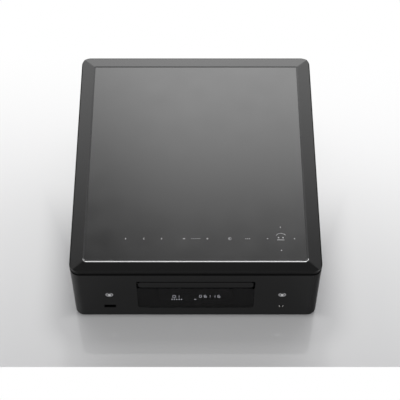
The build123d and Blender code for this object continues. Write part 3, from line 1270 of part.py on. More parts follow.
def lan_socket():
    """The network socket: a shielded box with a stepped mouth."""
    y1 = REAR_Y + 0.6
    body = block(LAN_X - LAN_W / 2, LAN_X + LAN_W / 2, y1 - LAN_DEPTH, y1, BOARD_TOP, BOARD_TOP + LAN_H)
    z0 = BOARD_TOP + 1.8
    body -= block(LAN_X - LAN_OPEN_W / 2, LAN_X + LAN_OPEN_W / 2, y1 - 13, y1 + 1, z0, z0 + LAN_OPEN_H)
    return body - block(LAN_X - 3, LAN_X + 3, y1 - 13, y1 + 1, z0 + LAN_OPEN_H - 0.1, z0 + LAN_OPEN_H + 2)


def aerial_socket():
    """The threaded aerial socket, on its own small stand."""
    y1 = REAR_Y - 2 * SHEET
    socket = rod_y(AERIAL_X, AERIAL_Z, y1, REAR_Y + 10, AERIAL_R)
    socket += block(AERIAL_X - 7, AERIAL_X + 7, y1 - 7, y1, AERIAL_Z - 7, AERIAL_Z + 7)
    return socket - rod_y(AERIAL_X, AERIAL_Z, REAR_Y + 1, REAR_Y + 11, 0.6)


def mains_inlet():
    """The two-pin mains inlet with its figure-eight recess and pins."""
    half_w, half_h = INLET_W / 2 - SEAT_GAP, INLET_H / 2 - 0.2
    z = BOARD_TOP + INLET_H / 2
    y1 = REAR_Y + 0.8
    body = block(INLET_X - half_w, INLET_X + half_w, y1 - INLET_DEPTH, y1, BOARD_TOP, z + half_h)
    recess = rod_y(INLET_X - 4.1, z, y1 - 12, y1 + 1, 4.6) + rod_y(INLET_X + 4.1, z, y1 - 12, y1 + 1, 4.6)
    recess += block(INLET_X - 4.1, INLET_X + 4.1, y1 - 12, y1 + 1, z - 3.4, z + 3.4)
    body -= recess
    for side in (-1, 1):
        body += rod_y(INLET_X + side * 4.1, z, y1 - 12.5, y1 - 3, 1.2)
    return body


PIECES = {
    "top_cover": top_cover, "glass_trim": glass_trim, "touch_glass": touch_glass,
    "touch_board": touch_board, "waist_band": waist_band, "front_panel": front_panel,
    "rear_panel": rear_panel, "socket_plate": socket_plate, "bottom_chassis": bottom_chassis,
    "rubber_feet": rubber_feet, "foot_screws": foot_screws, "rear_screws": rear_screws,
    "base_screws": base_screws,
    "display_window": display_window, "display_module": display_module, "front_board": front_board,
    "usb_socket": usb_socket, "headphone_jack": headphone_jack, "tray_front": tray_front,
    "disc_tray": disc_tray, "loader_frame": loader_frame, "clamp_bridge": clamp_bridge,
    "clamper": clamper, "tray_gear": tray_gear, "pulley_gear": pulley_gear,
    "motor_pulley": motor_pulley, "loading_motor": loading_motor, "drive_belt": drive_belt,
    "cam_slider": cam_slider, "traverse_frame": traverse_frame, "guide_rods": guide_rods,
    "spindle_motor": spindle_motor, "turntable": turntable, "pickup_sled": pickup_sled,
    "pickup_lens": pickup_lens, "sled_gear": sled_gear, "sled_motor_gear": sled_motor_gear,
    "sled_motor": sled_motor, "main_board": main_board, "amplifier_heatsink": amplifier_heatsink,
    "power_board": power_board, "transformer": transformer, "mains_capacitors": mains_capacitors,
    "terminal_block": terminal_block, "terminal_posts": terminal_posts, "phono_jacks": phono_jacks,
    "optical_sockets": optical_sockets, "lan_socket": lan_socket, "aerial_socket": aerial_socket,
    "mains_inlet": mains_inlet,
}

os.makedirs("parts", exist_ok=True)
for name, make in PIECES.items():
    export_step(make(), f"parts/{name}.step")
for side, word in ((-1, "left"), (1, "right")):
    export_step(side_panel(side), f"parts/side_panel_{word}.step")
for side, word in ((-1, "power"), (1, "eject")):
    export_step(button(side), f"parts/{word}_button.step")
for index, word in enumerate(("front", "rear")):
    export_step(loader_bracket(index), f"parts/loader_bracket_{word}.step")
for index, word in enumerate(("left_minus", "left_plus", "right_minus", "right_plus")):
    export_step(terminal_cap(index), f"parts/terminal_cap_{word}.step")
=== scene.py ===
import bmesh
import bpy
import math
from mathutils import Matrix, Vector, geometry


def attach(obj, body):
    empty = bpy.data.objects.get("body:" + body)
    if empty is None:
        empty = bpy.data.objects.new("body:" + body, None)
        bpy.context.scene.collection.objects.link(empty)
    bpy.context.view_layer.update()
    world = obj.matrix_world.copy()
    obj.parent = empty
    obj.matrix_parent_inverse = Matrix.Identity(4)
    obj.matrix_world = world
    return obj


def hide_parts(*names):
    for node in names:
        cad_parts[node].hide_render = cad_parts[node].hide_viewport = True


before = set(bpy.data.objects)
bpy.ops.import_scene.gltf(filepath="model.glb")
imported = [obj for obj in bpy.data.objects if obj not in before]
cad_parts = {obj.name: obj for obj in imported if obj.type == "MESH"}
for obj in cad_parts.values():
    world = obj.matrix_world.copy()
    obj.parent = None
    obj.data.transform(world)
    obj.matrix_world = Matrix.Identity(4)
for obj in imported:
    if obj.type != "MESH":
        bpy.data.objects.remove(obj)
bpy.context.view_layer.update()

# The studio
# The receiver stands on a pale glossy floor, which runs out into white behind it and ends a little way in
# front. The floor's white is painted light: a glow that only the camera and reflections see, kept out of the
# receiver's shadow. Light comes from a broad bright sky behind, with a weaker one in front and little from
# above.


class Socket:
    """An output of a shader node. Arithmetic on it adds Math nodes."""

    def __init__(self, finish, output):
        self.finish = finish
        self.output = output

    def math(self, operation, *values):
        """The result of a Math node with these values."""
        return self.finish.node("ShaderNodeMath", {"operation": operation}, dict(enumerate(values)))

    def __add__(self, other):
        return self.math("ADD", self, other)

    def __sub__(self, other):
        return self.math("SUBTRACT", self, other)

    def __rsub__(self, other):
        return self.math("SUBTRACT", other, self)

    def __mul__(self, other):
        return self.math("MULTIPLY", self, other)

    def __pow__(self, other):
        return self.math("POWER", self, other)

    def __lt__(self, other):
        return self.math("LESS_THAN", self, other)

    def __gt__(self, other):
        return self.math("GREATER_THAN", self, other)

    def __abs__(self):
        return self.math("ABSOLUTE", self)

    __radd__ = __add__
    __rmul__ = __mul__

    def between(self, low, high):
        """0 at low and 1 at high, with a soft start and end."""
        return self.finish.node("ShaderNodeMapRange", {"interpolation_type": "SMOOTHSTEP"},
                                {"Value": self, "From Min": low, "From Max": high})

    def larger(self, other):
        """The larger of the two values."""
        return self.math("MAXIMUM", self, other)

    def limited(self, low, high):
        """The value, kept from low to high."""
        return self.math("MAXIMUM", self.math("MINIMUM", self, high), low)


class Finish:
    """The shader nodes of a material or of the world, all made by one method."""

    def __init__(self, block):
        block.use_nodes = True
        self.block = block
        self.tree = block.node_tree
        self.tree.nodes.clear()

    def node(self, kind, settings=None, sockets=None, output=0):
        """Adds a node: its settings are set first, then the values or links of its sockets."""
        made = self.tree.nodes.new(kind)
        for name, value in (settings or {}).items():
            setattr(made, name, value)
        for name, value in (sockets or {}).items():
            if isinstance(value, Socket):
                self.tree.links.new(value.output, made.inputs[name])
            else:
                made.inputs[name].default_value = value
        return Socket(self, made.outputs[output]) if made.outputs else None

    def place(self, source="Object"):
        """The x, y and z of a point of the piece, in metres, or of a direction in the sky."""
        point = self.node("ShaderNodeTexCoord", output=source)
        return [self.node("ShaderNodeSeparateXYZ", None, {0: point}, axis) for axis in range(3)]

    def ray(self, *kinds):
        """1 for these kinds of light path, and 0 for the rest."""
        paths = [self.node("ShaderNodeLightPath", output=kind) for kind in kinds]
        total = paths[0]
        for path in paths[1:]:
            total = total.larger(path)
        return total

    def mixed(self, factor, first, second):
        """A colour between two colours."""
        return self.node("ShaderNodeMix", {"data_type": "RGBA"}, {0: factor, 6: first, 7: second}, 2)

    def noise(self, scale, detail=2.0, point=None):
        """A noise over the piece, about half on average."""
        point = point or self.node("ShaderNodeTexCoord", output="Object")
        return self.node("ShaderNodeTexNoise", None, {"Vector": point, "Scale": scale, "Detail": detail})

    def surface(self, values):
        """Gives the material one Principled surface, from its values and links."""
        shader = self.node("ShaderNodeBsdfPrincipled", None, values)
        self.node("ShaderNodeOutputMaterial", None, {"Surface": shader})
        return self.block


# The floor's painted light, a white glow, is nothing in the receiver's shadow. Elsewhere it rises from LEAST
# towards the back, with a small painted light beside the receiver, LIFT close by and less by FALL further
# out, and at least FRONT_LEVEL in front, which lightens the front of the shadow. Lengths here are in metres.
FLOOR_REACH, FLOOR_END = 12.0, -0.2183
FOOTPRINT, SHADOW = (0.14, 0.1525), (-0.01, 0.055)
RISE, LEVEL, LEAST = 1.75, 0.573, 0.17
LIFT, FALL, FRONT_LEVEL = 0.085, 0.045, 0.178
paint = Finish(bpy.data.materials.new("studio_floor"))
x, y, z = paint.place()
beside = (abs(x) - FOOTPRINT[0]).limited(0, FLOOR_REACH)
before = (abs(y) - FOOTPRINT[1]).limited(0, FLOOR_REACH)
clear = ((beside * beside + before * before) ** 0.5).between(*SHADOW).larger(y.between(-0.13, 0.04))
# Painted light beside the receiver, weaker further out.
painted_side_light = beside.between(0, 0.02) * LIFT - beside.between(0.02, 0.08) * FALL
painted_floor_light = ((y * RISE + LEVEL).limited(LEAST, 1) + painted_side_light * (1 - y.between(-0.12, 0.02))) * clear
painted_floor_light = painted_floor_light.larger((0 - y).between(0.146, 0.157) * FRONT_LEVEL)
# The camera and reflections see the painted glow; it gives no light to diffuse surfaces.
seen = paint.ray("Is Camera Ray", "Is Glossy Ray", "Is Transmission Ray") * painted_floor_light
seen = seen.larger((y < FLOOR_END) * paint.ray("Is Camera Ray"))
pale = paint.node("ShaderNodeBsdfPrincipled", None,
                  {"Base Color": (0.74, 0.74, 0.7548, 1), "Roughness": 0.05, "IOR": 2.4})
glow = paint.node("ShaderNodeEmission", None, {"Color": (1, 1, 1, 1), "Strength": 1.0})
paint.node("ShaderNodeOutputMaterial", None,
           {"Surface": paint.node("ShaderNodeMixShader", None, {0: seen, 1: pale, 2: glow})})
mesh = bpy.data.meshes.new("studio_floor")
corners = [(sx * FLOOR_REACH, sy * FLOOR_REACH, 0) for sx, sy in ((-1, -1), (1, -1), (1, 1), (-1, 1))]
mesh.from_pydata(corners, [], [(0, 1, 2, 3)])
mesh.materials.append(paint.block)
floor = bpy.data.objects.new("studio_floor", mesh)
bpy.context.scene.collection.objects.link(floor)

# The sky is DIM in front and above, and brighter behind, where it falls off to the sides, to the left and
# low down. A small bright field stands ahead, and a weak one on each side.
DIM, SLOPE, BEHIND, AHEAD, ASIDE = 0.27, 0.15, 2.8, 0.9, 0.17
SIDE_LOSS, LEFT_LOSS, LOW_SHARE, LEFT_DIP = 0.9, 0.45, 0.72, 0.13
sky = Finish(bpy.data.worlds.new("studio_sky"))
x, y, z = sky.place("Generated")
left = (0 - x).between(0, 0.12) * (1 - (0 - x).between(0.2, 0.4))
behind = (y - left * 0.03).between(0.488, 0.66) * (
    BEHIND - left * LEFT_LOSS - abs(x).between(0.1, 0.6) * SIDE_LOSS)
behind = behind * (LOW_SHARE + z.between(0.15, 0.4) * (1 - LOW_SHARE))
ahead = z.between(0.3, 0.42) * (1 - z.between(0.55, 0.65)) * (0 - y).between(0.6, 0.75)
aside = abs(x).between(0.45, 0.62) * (1 - y.between(0.52, 0.6)) * z.between(0.1, 0.3)
light = DIM + y.between(-0.4, 0.5) * SLOPE + behind + ahead * AHEAD + aside * ASIDE
light = light - left * (1 - y.between(0.5, 0.56)) * y.between(0.4, 0.5) * LEFT_DIP
strength = light + (1 - light) * sky.ray("Is Camera Ray")
sky.node("ShaderNodeOutputWorld", None,
         {"Surface": sky.node("ShaderNodeBackground", None, {"Color": (1, 1, 1, 1), "Strength": strength})})
bpy.context.scene.world = sky.block

# The camera looks steeply down over the front edge, through a long lens. CAMERA_TILT is in degrees from
# straight down.
CAMERA_PLACE, CAMERA_TILT = (0, -0.8467, 1.3032), 34.193
camera = bpy.data.objects.new("camera", bpy.data.cameras.new("camera"))
camera.data.sensor_width, camera.data.lens, camera.data.clip_end = 36.0, 113.31, 50.0
camera.data.shift_x, camera.data.shift_y = 0.0106, -0.05
camera.location = CAMERA_PLACE
camera.rotation_euler = (math.radians(CAMERA_TILT), 0, 0)
bpy.context.scene.collection.objects.link(camera)
bpy.context.scene.camera = camera
bpy.context.scene.view_settings.view_transform = "Standard"

# Feet and base
# Four moulded rubber feet, each held by one zinc-plated screw, under a base that is folded from steel
# sheet and coated black. The base screws are black.


def shade(colour, times):
    """A colour made lighter or darker."""
    return (*(min(1.0, part * times) for part in colour[:3]), 1)


MOTTLE, METAL_MOTTLE = 35.0, 60.0


def moulded(name, colour, roughness, grain=0.1, size=0.3, vary=0.15, more=None):
    """A plastic, rubber or painted finish: a grain, size mm across, and a tone and shine that vary."""
    finish = Finish(bpy.data.materials.new(name))
    fine, wide = finish.noise(1000 / size), finish.noise(MOTTLE, 3.0)
    bump = finish.node("ShaderNodeBump", None, {"Strength": grain, "Distance": 0.0002, "Height": fine})
    tone = finish.mixed(wide, shade(colour, 1 - vary), shade(colour, 1 + vary))
    return finish.surface({"Base Color": tone, "Roughness": roughness + (wide - 0.5) * 0.12,
                           "Normal": bump, **(more or {})})


def metal(name, colour, roughness, along=None, size=0.15):
    """A bare or plated metal. Along gives how far its marks are drawn out in x, y and z."""
    finish = Finish(bpy.data.materials.new(name))
    point = finish.node("ShaderNodeTexCoord", output="Object")
    if along:
        point = finish.node("ShaderNodeMapping", None, {"Vector": point, "Scale": along})
    marks, wide = finish.noise(1000 / size, 3.0, point), finish.noise(METAL_MOTTLE, 2.0, point)
    bump = finish.node("ShaderNodeBump", None, {"Strength": 0.15, "Distance": 0.00005, "Height": marks})
    tone = finish.mixed(marks, shade(colour, 0.85), shade(colour, 1.1))
    return finish.surface({"Base Color": tone, "Metallic": 1.0,
                           "Roughness": roughness + (wide - 0.5) * 0.15, "Normal": bump})


def dress(finish, *nodes):
    """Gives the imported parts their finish."""
    for name in nodes:
        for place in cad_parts[name].material_slots:
            place.material = finish


black_steel = moulded("black_coated_steel", (0.022, 0.022, 0.023), 0.42, grain=0.35, size=0.5)
black_oxide = metal("black_oxide_screw", (0.09, 0.09, 0.1), 0.38)
zinc = metal("zinc_plate", (0.55, 0.55, 0.53), 0.32)
dress(moulded("foot_rubber", (0.018, 0.018, 0.018), 0.75, grain=0.4, size=0.6), "rubber_feet")
dress(zinc, "foot_screws")
dress(black_steel, "bottom_chassis")
dress(black_oxide, "base_screws")

# Boards
# Green glass-fibre boards with copper tracks under the mask, a brown paper-laminate power board, a
# ferrite transformer wound with yellow tape, sleeved capacitors and a finned aluminium heat sink.


def board(name, mask, track, chip):
    """A circuit board: tracks under its mask, and dark chips above the height chip."""
    finish = Finish(bpy.data.materials.new(name))
    point = finish.node("ShaderNodeTexCoord", output="Object")
    x, y, z = finish.place()
    runs = finish.node("ShaderNodeTexBrick", {"offset": 0.35, "squash": 0.7},
                       {"Vector": point, "Scale": 220.0, "Mortar Size": 0.06, "Brick Width": 1.7,
                        "Color1": (0, 0, 0, 1), "Color2": (0, 0, 0, 1), "Mortar": (1, 1, 1, 1)})
    cells = finish.node("ShaderNodeTexVoronoi", None, {"Vector": point, "Scale": 260.0})
    tracks = finish.mixed(runs, mask, track)
    tone = finish.mixed(cells < 0.16, tracks, (0.5, 0.48, 0.42, 1))
    tone = finish.mixed(z > chip, tone, (0.012, 0.012, 0.013, 1))
    bump = finish.node("ShaderNodeBump", None, {"Strength": 0.3, "Distance": 0.0001, "Height": runs})
    return finish.surface({"Base Color": tone, "Roughness": 0.4, "Normal": bump})


BOARD_TOP, NO_CHIPS = 0.01565, 1.0
dress(board("green_board", (0.01, 0.06, 0.025, 1), (0.02, 0.12, 0.05, 1), BOARD_TOP), "main_board")
dress(board("power_laminate", (0.32, 0.22, 0.09, 1), (0.42, 0.3, 0.13, 1), BOARD_TOP), "power_board")
dress(board("black_board", (0.008, 0.009, 0.01, 1), (0.02, 0.022, 0.024, 1), NO_CHIPS),
      "front_board", "touch_board")
dress(moulded("ferrite_and_tape", (0.05, 0.05, 0.052), 0.6, grain=0.5, size=0.4), "transformer")
dress(moulded("capacitor_sleeve", (0.015, 0.018, 0.04), 0.25, grain=0.05), "mains_capacitors")
dress(metal("extruded_aluminium", (0.62, 0.62, 0.63), 0.35, along=(1, 1, 0.05)), "amplifier_heatsink")

# Rear panel and sockets
# A steel sheet in fine-textured black paint, screwed on all round. The sockets are moulded, with
# plated shells, and the loudspeaker caps are black and red.

textured_paint = moulded("textured_black_paint", (0.02, 0.02, 0.021), 0.5, grain=0.6, size=0.5)
nickel = metal("nickel_plate", (0.6, 0.59, 0.56), 0.25)
socket_black = moulded("socket_moulding", (0.018, 0.018, 0.018), 0.38, grain=0.12)
dress(textured_paint, "rear_panel", "socket_plate")
dress(black_oxide, "rear_screws")
dress(socket_black, "terminal_block", "optical_sockets", "mains_inlet")
dress(nickel, "phono_jacks", "lan_socket", "aerial_socket", "terminal_posts")
dress(moulded("cap_black", (0.016, 0.016, 0.016), 0.3), "terminal_cap_left_minus", "terminal_cap_right_minus")
dress(moulded("cap_red", (0.42, 0.012, 0.012), 0.3), "terminal_cap_left_plus", "terminal_cap_right_plus")

# Disc loader
# A glass-filled black frame on two zinc-coated steel brackets, with acetal gears, a belt drive and a
# steel bar over the disc that carries the clamper.

frame_black = moulded("glass_filled_black", (0.022, 0.022, 0.023), 0.48, grain=0.5, size=0.35)
acetal = moulded("natural_acetal", (0.72, 0.71, 0.66), 0.35, grain=0.06)
motor_can = metal("plated_can", (0.5, 0.5, 0.5), 0.28)
bracket_zinc = metal("zinc_coated_sheet", (0.56, 0.57, 0.58), 0.36, size=2.5)
dress(frame_black, "loader_frame", "traverse_frame")
dress(bracket_zinc, "loader_bracket_front", "loader_bracket_rear", "clamp_bridge")
dress(moulded("natural_nylon", (0.55, 0.55, 0.5), 0.4), "clamper")
dress(acetal, "tray_gear", "pulley_gear", "motor_pulley", "cam_slider", "sled_gear", "sled_motor_gear")
dress(motor_can, "loading_motor", "spindle_motor", "sled_motor")
dress(moulded("belt_rubber", (0.012, 0.012, 0.012), 0.7, grain=0.3), "drive_belt")

# Traverse and pickup
# The tilting frame carries a black turntable with a rubber seat and the pickup sled, which runs on two
# ground steel rods.

dress(metal("ground_rod", (0.7, 0.7, 0.71), 0.12, along=(1, 1, 8)), "guide_rods")
dress(moulded("turntable_black", (0.02, 0.02, 0.02), 0.5, grain=0.3), "turntable")
dress(moulded("sled_moulding", (0.035, 0.035, 0.038), 0.45, grain=0.4), "pickup_sled")
dress(moulded("coated_lens", (0.05, 0.07, 0.2), 0.05, grain=0.0, more={"Coat Weight": 1.0}), "pickup_lens")

# Disc tray
# A moulding in fine-textured black, with its disc wells and its rack in one. Its front strip is a
# separate piece in the same gloss black as the front panel.


def rounded(corners, steps=5):
    """A closed outline from its corners, each an x, a z and a radius, anticlockwise."""
    points = []
    for index, (x, z, r) in enumerate(corners):
        here = Vector((x, z))
        before = (Vector(corners[index - 1][:2]) - here).normalized()
        after = (Vector(corners[(index + 1) % len(corners)][:2]) - here).normalized()
        if not r:
            points.append((x, z))
            continue
        half = before.angle(after) / 2
        centre = here + (before + after).normalized() * (r / math.sin(half))
        start = here + before * (r / math.tan(half)) - centre
        end = here + after * (r / math.tan(half)) - centre
        turn = math.atan2(start.x * end.y - start.y * end.x, start.dot(end))
        for k in range(steps + 1):
            c, s = math.cos(turn * k / steps), math.sin(turn * k / steps)
            points.append((centre.x + start.x * c - start.y * s, centre.y + start.x * s + start.y * c))
    return points


def box_outline(x0, x1, z0, z1, r):
    """The outline of a rectangle with rounded corners."""
    return rounded([(x0, z0, r), (x1, z0, r), (x1, z1, r), (x0, z1, r)])


def drawn_in(loop, distance):
    """The outline moved to its left, which is into the material."""
    moved = []
    for index, (x, z) in enumerate(loop):
        ax, az = loop[index - 1]
        bx, bz = loop[(index + 1) % len(loop)]
        before = Vector((x - ax, z - az)).normalized()
        after = Vector((bx - x, bz - z)).normalized()
        left = Vector((-before.y - after.y, before.x + after.x)).normalized()
        reach = distance / max(0.3, left.dot(Vector((-before.y, before.x))))
        moved.append((x + left.x * reach, z + left.y * reach))
    return moved


def plate(outlines, depth, edge=0.3, steps=3):
    """A plate with rounded edges from its rim and its holes: points of x, z and depth, and faces."""
    loops = [outlines[0]] + [hole[::-1] for hole in outlines[1:]]
    turns = [math.pi / 2 * k / steps for k in range(steps + 1)]
    profile = [(edge * (1 - math.sin(a)), edge * (1 - math.cos(a))) for a in turns]
    profile = profile + [(inward, depth - down) for inward, down in reversed(profile)]
    points, faces, caps = [], [], ([], [])
    for loop in loops:
        first, count = len(points), len(loop)
        for inward, down in profile:
            points += [(x, z, down) for x, z in drawn_in(loop, inward)]
        for ring in range(len(profile) - 1):
            for k in range(count):
                a, b = first + ring * count + k, first + ring * count + (k + 1) % count
                faces.append((a, b, b + count, a + count))
        caps[0].append(range(first, first + count))
        caps[1].append(range(len(points) - count, len(points)))
    for cap in caps:
        flat = [index for loop in cap for index in loop]
        faces += [tuple(flat[k] for k in triangle) for triangle in geometry.tessellate_polygon(
            [[Vector((*points[index][:2], 0)) for index in loop] for loop in cap])]
    return points, faces


def piece(name, points, faces, finish, slot, body="housing", stands_for=(), sharp=32):
    """A piece from points in millimetres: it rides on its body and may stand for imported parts."""
    mesh = bpy.data.meshes.new(name)
    mesh.from_pydata([(x / 1000, y / 1000, z / 1000) for x, y, z in points], [], faces)
    shape = bmesh.new()
    shape.from_mesh(mesh)
    bmesh.ops.remove_doubles(shape, verts=shape.verts, dist=1e-7)
    bmesh.ops.recalc_face_normals(shape, faces=shape.faces)
    shape.to_mesh(mesh)
    shape.free()
    mesh.shade_smooth()
    mesh.set_sharp_from_angle(angle=math.radians(sharp))
    mesh.materials.append(finish)
    made = bpy.data.objects.new(name, mesh)
    bpy.context.scene.collection.objects.link(made)
    made.modifiers.new("even_shading", "WEIGHTED_NORMAL").keep_sharp = True
    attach(made, body)
    if stands_for:
        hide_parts(*stands_for)


def facing(points, y):
    """Puts a plate's points upright, with its outer face at y and its depth towards the back."""
    return [(x, y + down, z) for x, z, down in points]


def two_shines(name, colour, rough, ior, shaded_share):
    """A gloss black with satin parts, whose share the last argument gives for a point's x, y and z. The satin
    is a darker copy with a weak shine: painted shade where reflections would show.
    """
    finish = Finish(bpy.data.materials.new(name))
    wide = finish.noise(MOTTLE, 3.0)
    tone = finish.mixed(wide, shade(colour, 0.92), shade(colour, 1.08))
    gloss = finish.node("ShaderNodeBsdfPrincipled", None, {
        "Base Color": tone, "Roughness": rough + (wide - 0.5) * 0.06, "IOR": ior})
    satin_shade = finish.node("ShaderNodeBsdfPrincipled", None, {
        "Base Color": shade(colour, 0.3), "Roughness": 0.35 + wide * 0.1, "IOR": 1.12})
    finish.node("ShaderNodeOutputMaterial", None, {"Surface": finish.node(
        "ShaderNodeMixShader", None, {0: shaded_share(*finish.place()), 1: gloss, 2: satin_shade})})
    return finish.block


# The front moulding's corners turn to satin, a darker copy with a weak shine that stands as painted shade in
# place of their reflections. It starts a little sooner on the right.
SATIN_SHADE_X, SATIN_SHADE_Y = (0.13, 0.1385), (-0.149, -0.143)
front_gloss = two_shines(
    "front_gloss_black", (0.002, 0.002, 0.0022), 0.11, 1.222,
    lambda x, y, z: (abs(x) + x * 0.02).between(*SATIN_SHADE_X) * (1 - y.between(*SATIN_SHADE_Y)))
TRAY_FRONT_W, TRAY_FRONT_Z, TRAY_FRONT_Y = 128.8, (65.9, 77.7), -152.3
dress(moulded("tray_black", (0.02, 0.02, 0.021), 0.45, grain=0.45, size=0.35), "disc_tray")
half = TRAY_FRONT_W / 2
points, faces = plate([box_outline(-half, half, *TRAY_FRONT_Z, 3.2)], 3.0, 0.4)
piece("tray_front_strip", facing(points, TRAY_FRONT_Y), faces, front_gloss, "front", "tray", ["tray_front"])

# Front panel
# One gloss black moulding that turns round both front corners. It has the tray slot, the window's
# opening and the holes of the buttons, the USB socket and the headphone jack.

WIDTH, DEPTH, CORNER = 280.0, 305.0, 11.0
BODY_Z = (2.6, 93.6)
FLAT, ARC, LONG = WIDTH / 2 - CORNER, CORNER * math.pi / 2, DEPTH - 2 * CORNER


def circle(x, z, r, steps=48):
    """The points of a circle, anticlockwise."""
    turn = [2 * math.pi * k / steps for k in range(steps)]
    return [(x + r * math.cos(a), z + r * math.sin(a)) for a in turn]


def plan_place(s, depth):
    """The plan place of a point that lies s along the walls from the middle of the front."""
    side, s = math.copysign(1, s), abs(s)
    radius, y = CORNER - depth, DEPTH / 2 - CORNER
    if s <= FLAT:
        return side * s, -DEPTH / 2 + depth
    if s <= FLAT + ARC:
        turn = (s - FLAT) / CORNER
        return side * (FLAT + radius * math.sin(turn)), -y - radius * math.cos(turn)
    if s <= FLAT + ARC + LONG:
        return side * (WIDTH / 2 - depth), -y + s - FLAT - ARC
    if s <= FLAT + 2 * ARC + LONG:
        turn = (s - FLAT - ARC - LONG) / CORNER
        return side * (FLAT + radius * math.cos(turn)), y + radius * math.sin(turn)
    return side * (2 * FLAT + 2 * ARC + LONG - s), DEPTH / 2 - depth


def wall(points, faces, inset=0.0, steps=12):
    """Bends a flat plate of x along the walls, z and depth round the body's corners."""
    shape = bmesh.new()
    made = [shape.verts.new((x, z, down)) for x, z, down in points]
    for face in faces:
        shape.faces.new([made[k] for k in face])
    for side in (-1, 1):
        for start in (FLAT, FLAT + ARC + LONG):
            for k in range(steps + 1):
                everything = list(shape.verts) + list(shape.edges) + list(shape.faces)
                bmesh.ops.bisect_plane(shape, geom=everything, dist=1e-4, plane_no=(1, 0, 0),
                                       plane_co=(side * (start + ARC * k / steps), 0, 0))
    shape.verts.index_update()
    bent = [(*plan_place(v.co.x, v.co.z + inset), v.co.y) for v in shape.verts]
    faces = [tuple(v.index for v in face.verts) for face in shape.faces]
    shape.free()
    return bent, faces


BUTTON_X, BUTTON_Z, BUTTON_R, BUTTON_GAP = 98.0, 49.2, 4.65, 0.08
USB_X, USB_Z, USB_W, USB_H, USB_GAP = -98.3, 23.5, 13.5, 5.8, 0.15
JACK = (98.2, 23.0, 2.95)
WINDOW_HALF, SLOT_HALF = 66.0, 66.5
WINDOW_Z, SLOT_Z, LEDGE = 19.9, (64.5, 79.3), (0.3, 0.9)
RETURN = 5.0
front_end = FLAT + ARC + RETURN
outline = [(WINDOW_HALF, WINDOW_Z, 5), (WINDOW_HALF, SLOT_Z[0] + LEDGE[0], 0),
           (SLOT_HALF, SLOT_Z[0] + LEDGE[1], 0), (SLOT_HALF, SLOT_Z[1], 2)]
opening = rounded([(-WINDOW_HALF, WINDOW_Z, 5)] + outline + [(-x, z, r) for x, z, r in outline[:0:-1]])
holes = [circle(side * BUTTON_X, BUTTON_Z, BUTTON_R + BUTTON_GAP) for side in (-1, 1)]
reach_x, reach_z = USB_W / 2 + USB_GAP, USB_H / 2 + USB_GAP
holes.append(box_outline(USB_X - reach_x, USB_X + reach_x, USB_Z - reach_z, USB_Z + reach_z, 0.6))
holes.append(circle(*JACK, steps=36))
points, faces = wall(*plate([box_outline(-front_end, front_end, *BODY_Z, 0.3), opening] + holes, 3.0, 0.3))
piece("front_moulding", points, faces, front_gloss, "front", stands_for=["front_panel"])

# Display
# A smoked acrylic window lies flush under the tray. Behind it a display module shows a track number
# and a time in plain lit segments.

WINDOW_GAP = 0.3
MODULE, MODULE_Y, LIT_Y = (-42, 42, 30, 58), -147.4, -147.44
smoked = Finish(bpy.data.materials.new("smoked_acrylic"))
smoked.surface({"Base Color": (0.15, 0.15, 0.16, 1), "Roughness": 0.03, "IOR": 1.14,
                "Transmission Weight": 1.0})
half = WINDOW_HALF - WINDOW_GAP
window = rounded([(-half, WINDOW_Z + WINDOW_GAP, 4.9), (half, WINDOW_Z + WINDOW_GAP, 4.9),
                  (half, SLOT_Z[0], 0.4), (-half, SLOT_Z[0], 0.4)])
points, faces = plate([window], 3.0, 0.25)
piece("window_pane", facing(points, -DEPTH / 2), faces, smoked.block, "window", stands_for=["display_window"])
display_glass = moulded("display_glass", (0.004, 0.004, 0.005), 0.25, grain=0.0)
points, faces = plate([box_outline(*MODULE, 0.8)], 2.6, 0.2)
piece("display_panel", facing(points, MODULE_Y), faces, display_glass, "display",
      stands_for=["display_module"])

SEGMENTS = {"0": "abcdef", "1": "bc", "6": "afgecd"}
DIGIT_H, STROKE, LEVEL_STROKE, SEGMENT_GAP = 6.3, 0.6, 0.9, 0.08


def segment(letter, x, z, w):
    """One bar of a digit whose lower left corner is at x and z, and whose width is w."""
    h, t, u = DIGIT_H, STROKE, LEVEL_STROKE
    bars = {"a": (t, w - t, h - u, h), "g": (t, w - t, h / 2 - u / 2, h / 2 + u / 2), "d": (t, w - t, 0, u),
            "b": (w - t, w, h / 2, h - u / 2), "c": (w - t, w, u / 2, h / 2),
            "f": (0, t, h / 2, h - u / 2), "e": (0, t, u / 2, h / 2)}
    x0, x1, z0, z1 = bars[letter]
    gap = SEGMENT_GAP
    return box_outline(x + x0 + gap, x + x1 - gap, z + z0 + gap, z + z1 - gap, 0.12)


def marks(name, outlines, depth, finish, slot, place, body="housing"):
    """Thin flat marks, such as printed symbols or lit bars, put in place by a function."""
    points, faces = [], []
    for rings in outlines:
        rings = rings if isinstance(rings[0], list) else [rings]
        more, cells = plate(rings, depth, min(0.01, depth / 4), 1)
        faces += [tuple(k + len(points) for k in cell) for cell in cells]
        points += more
    piece(name, place(points), faces, finish, slot, body)


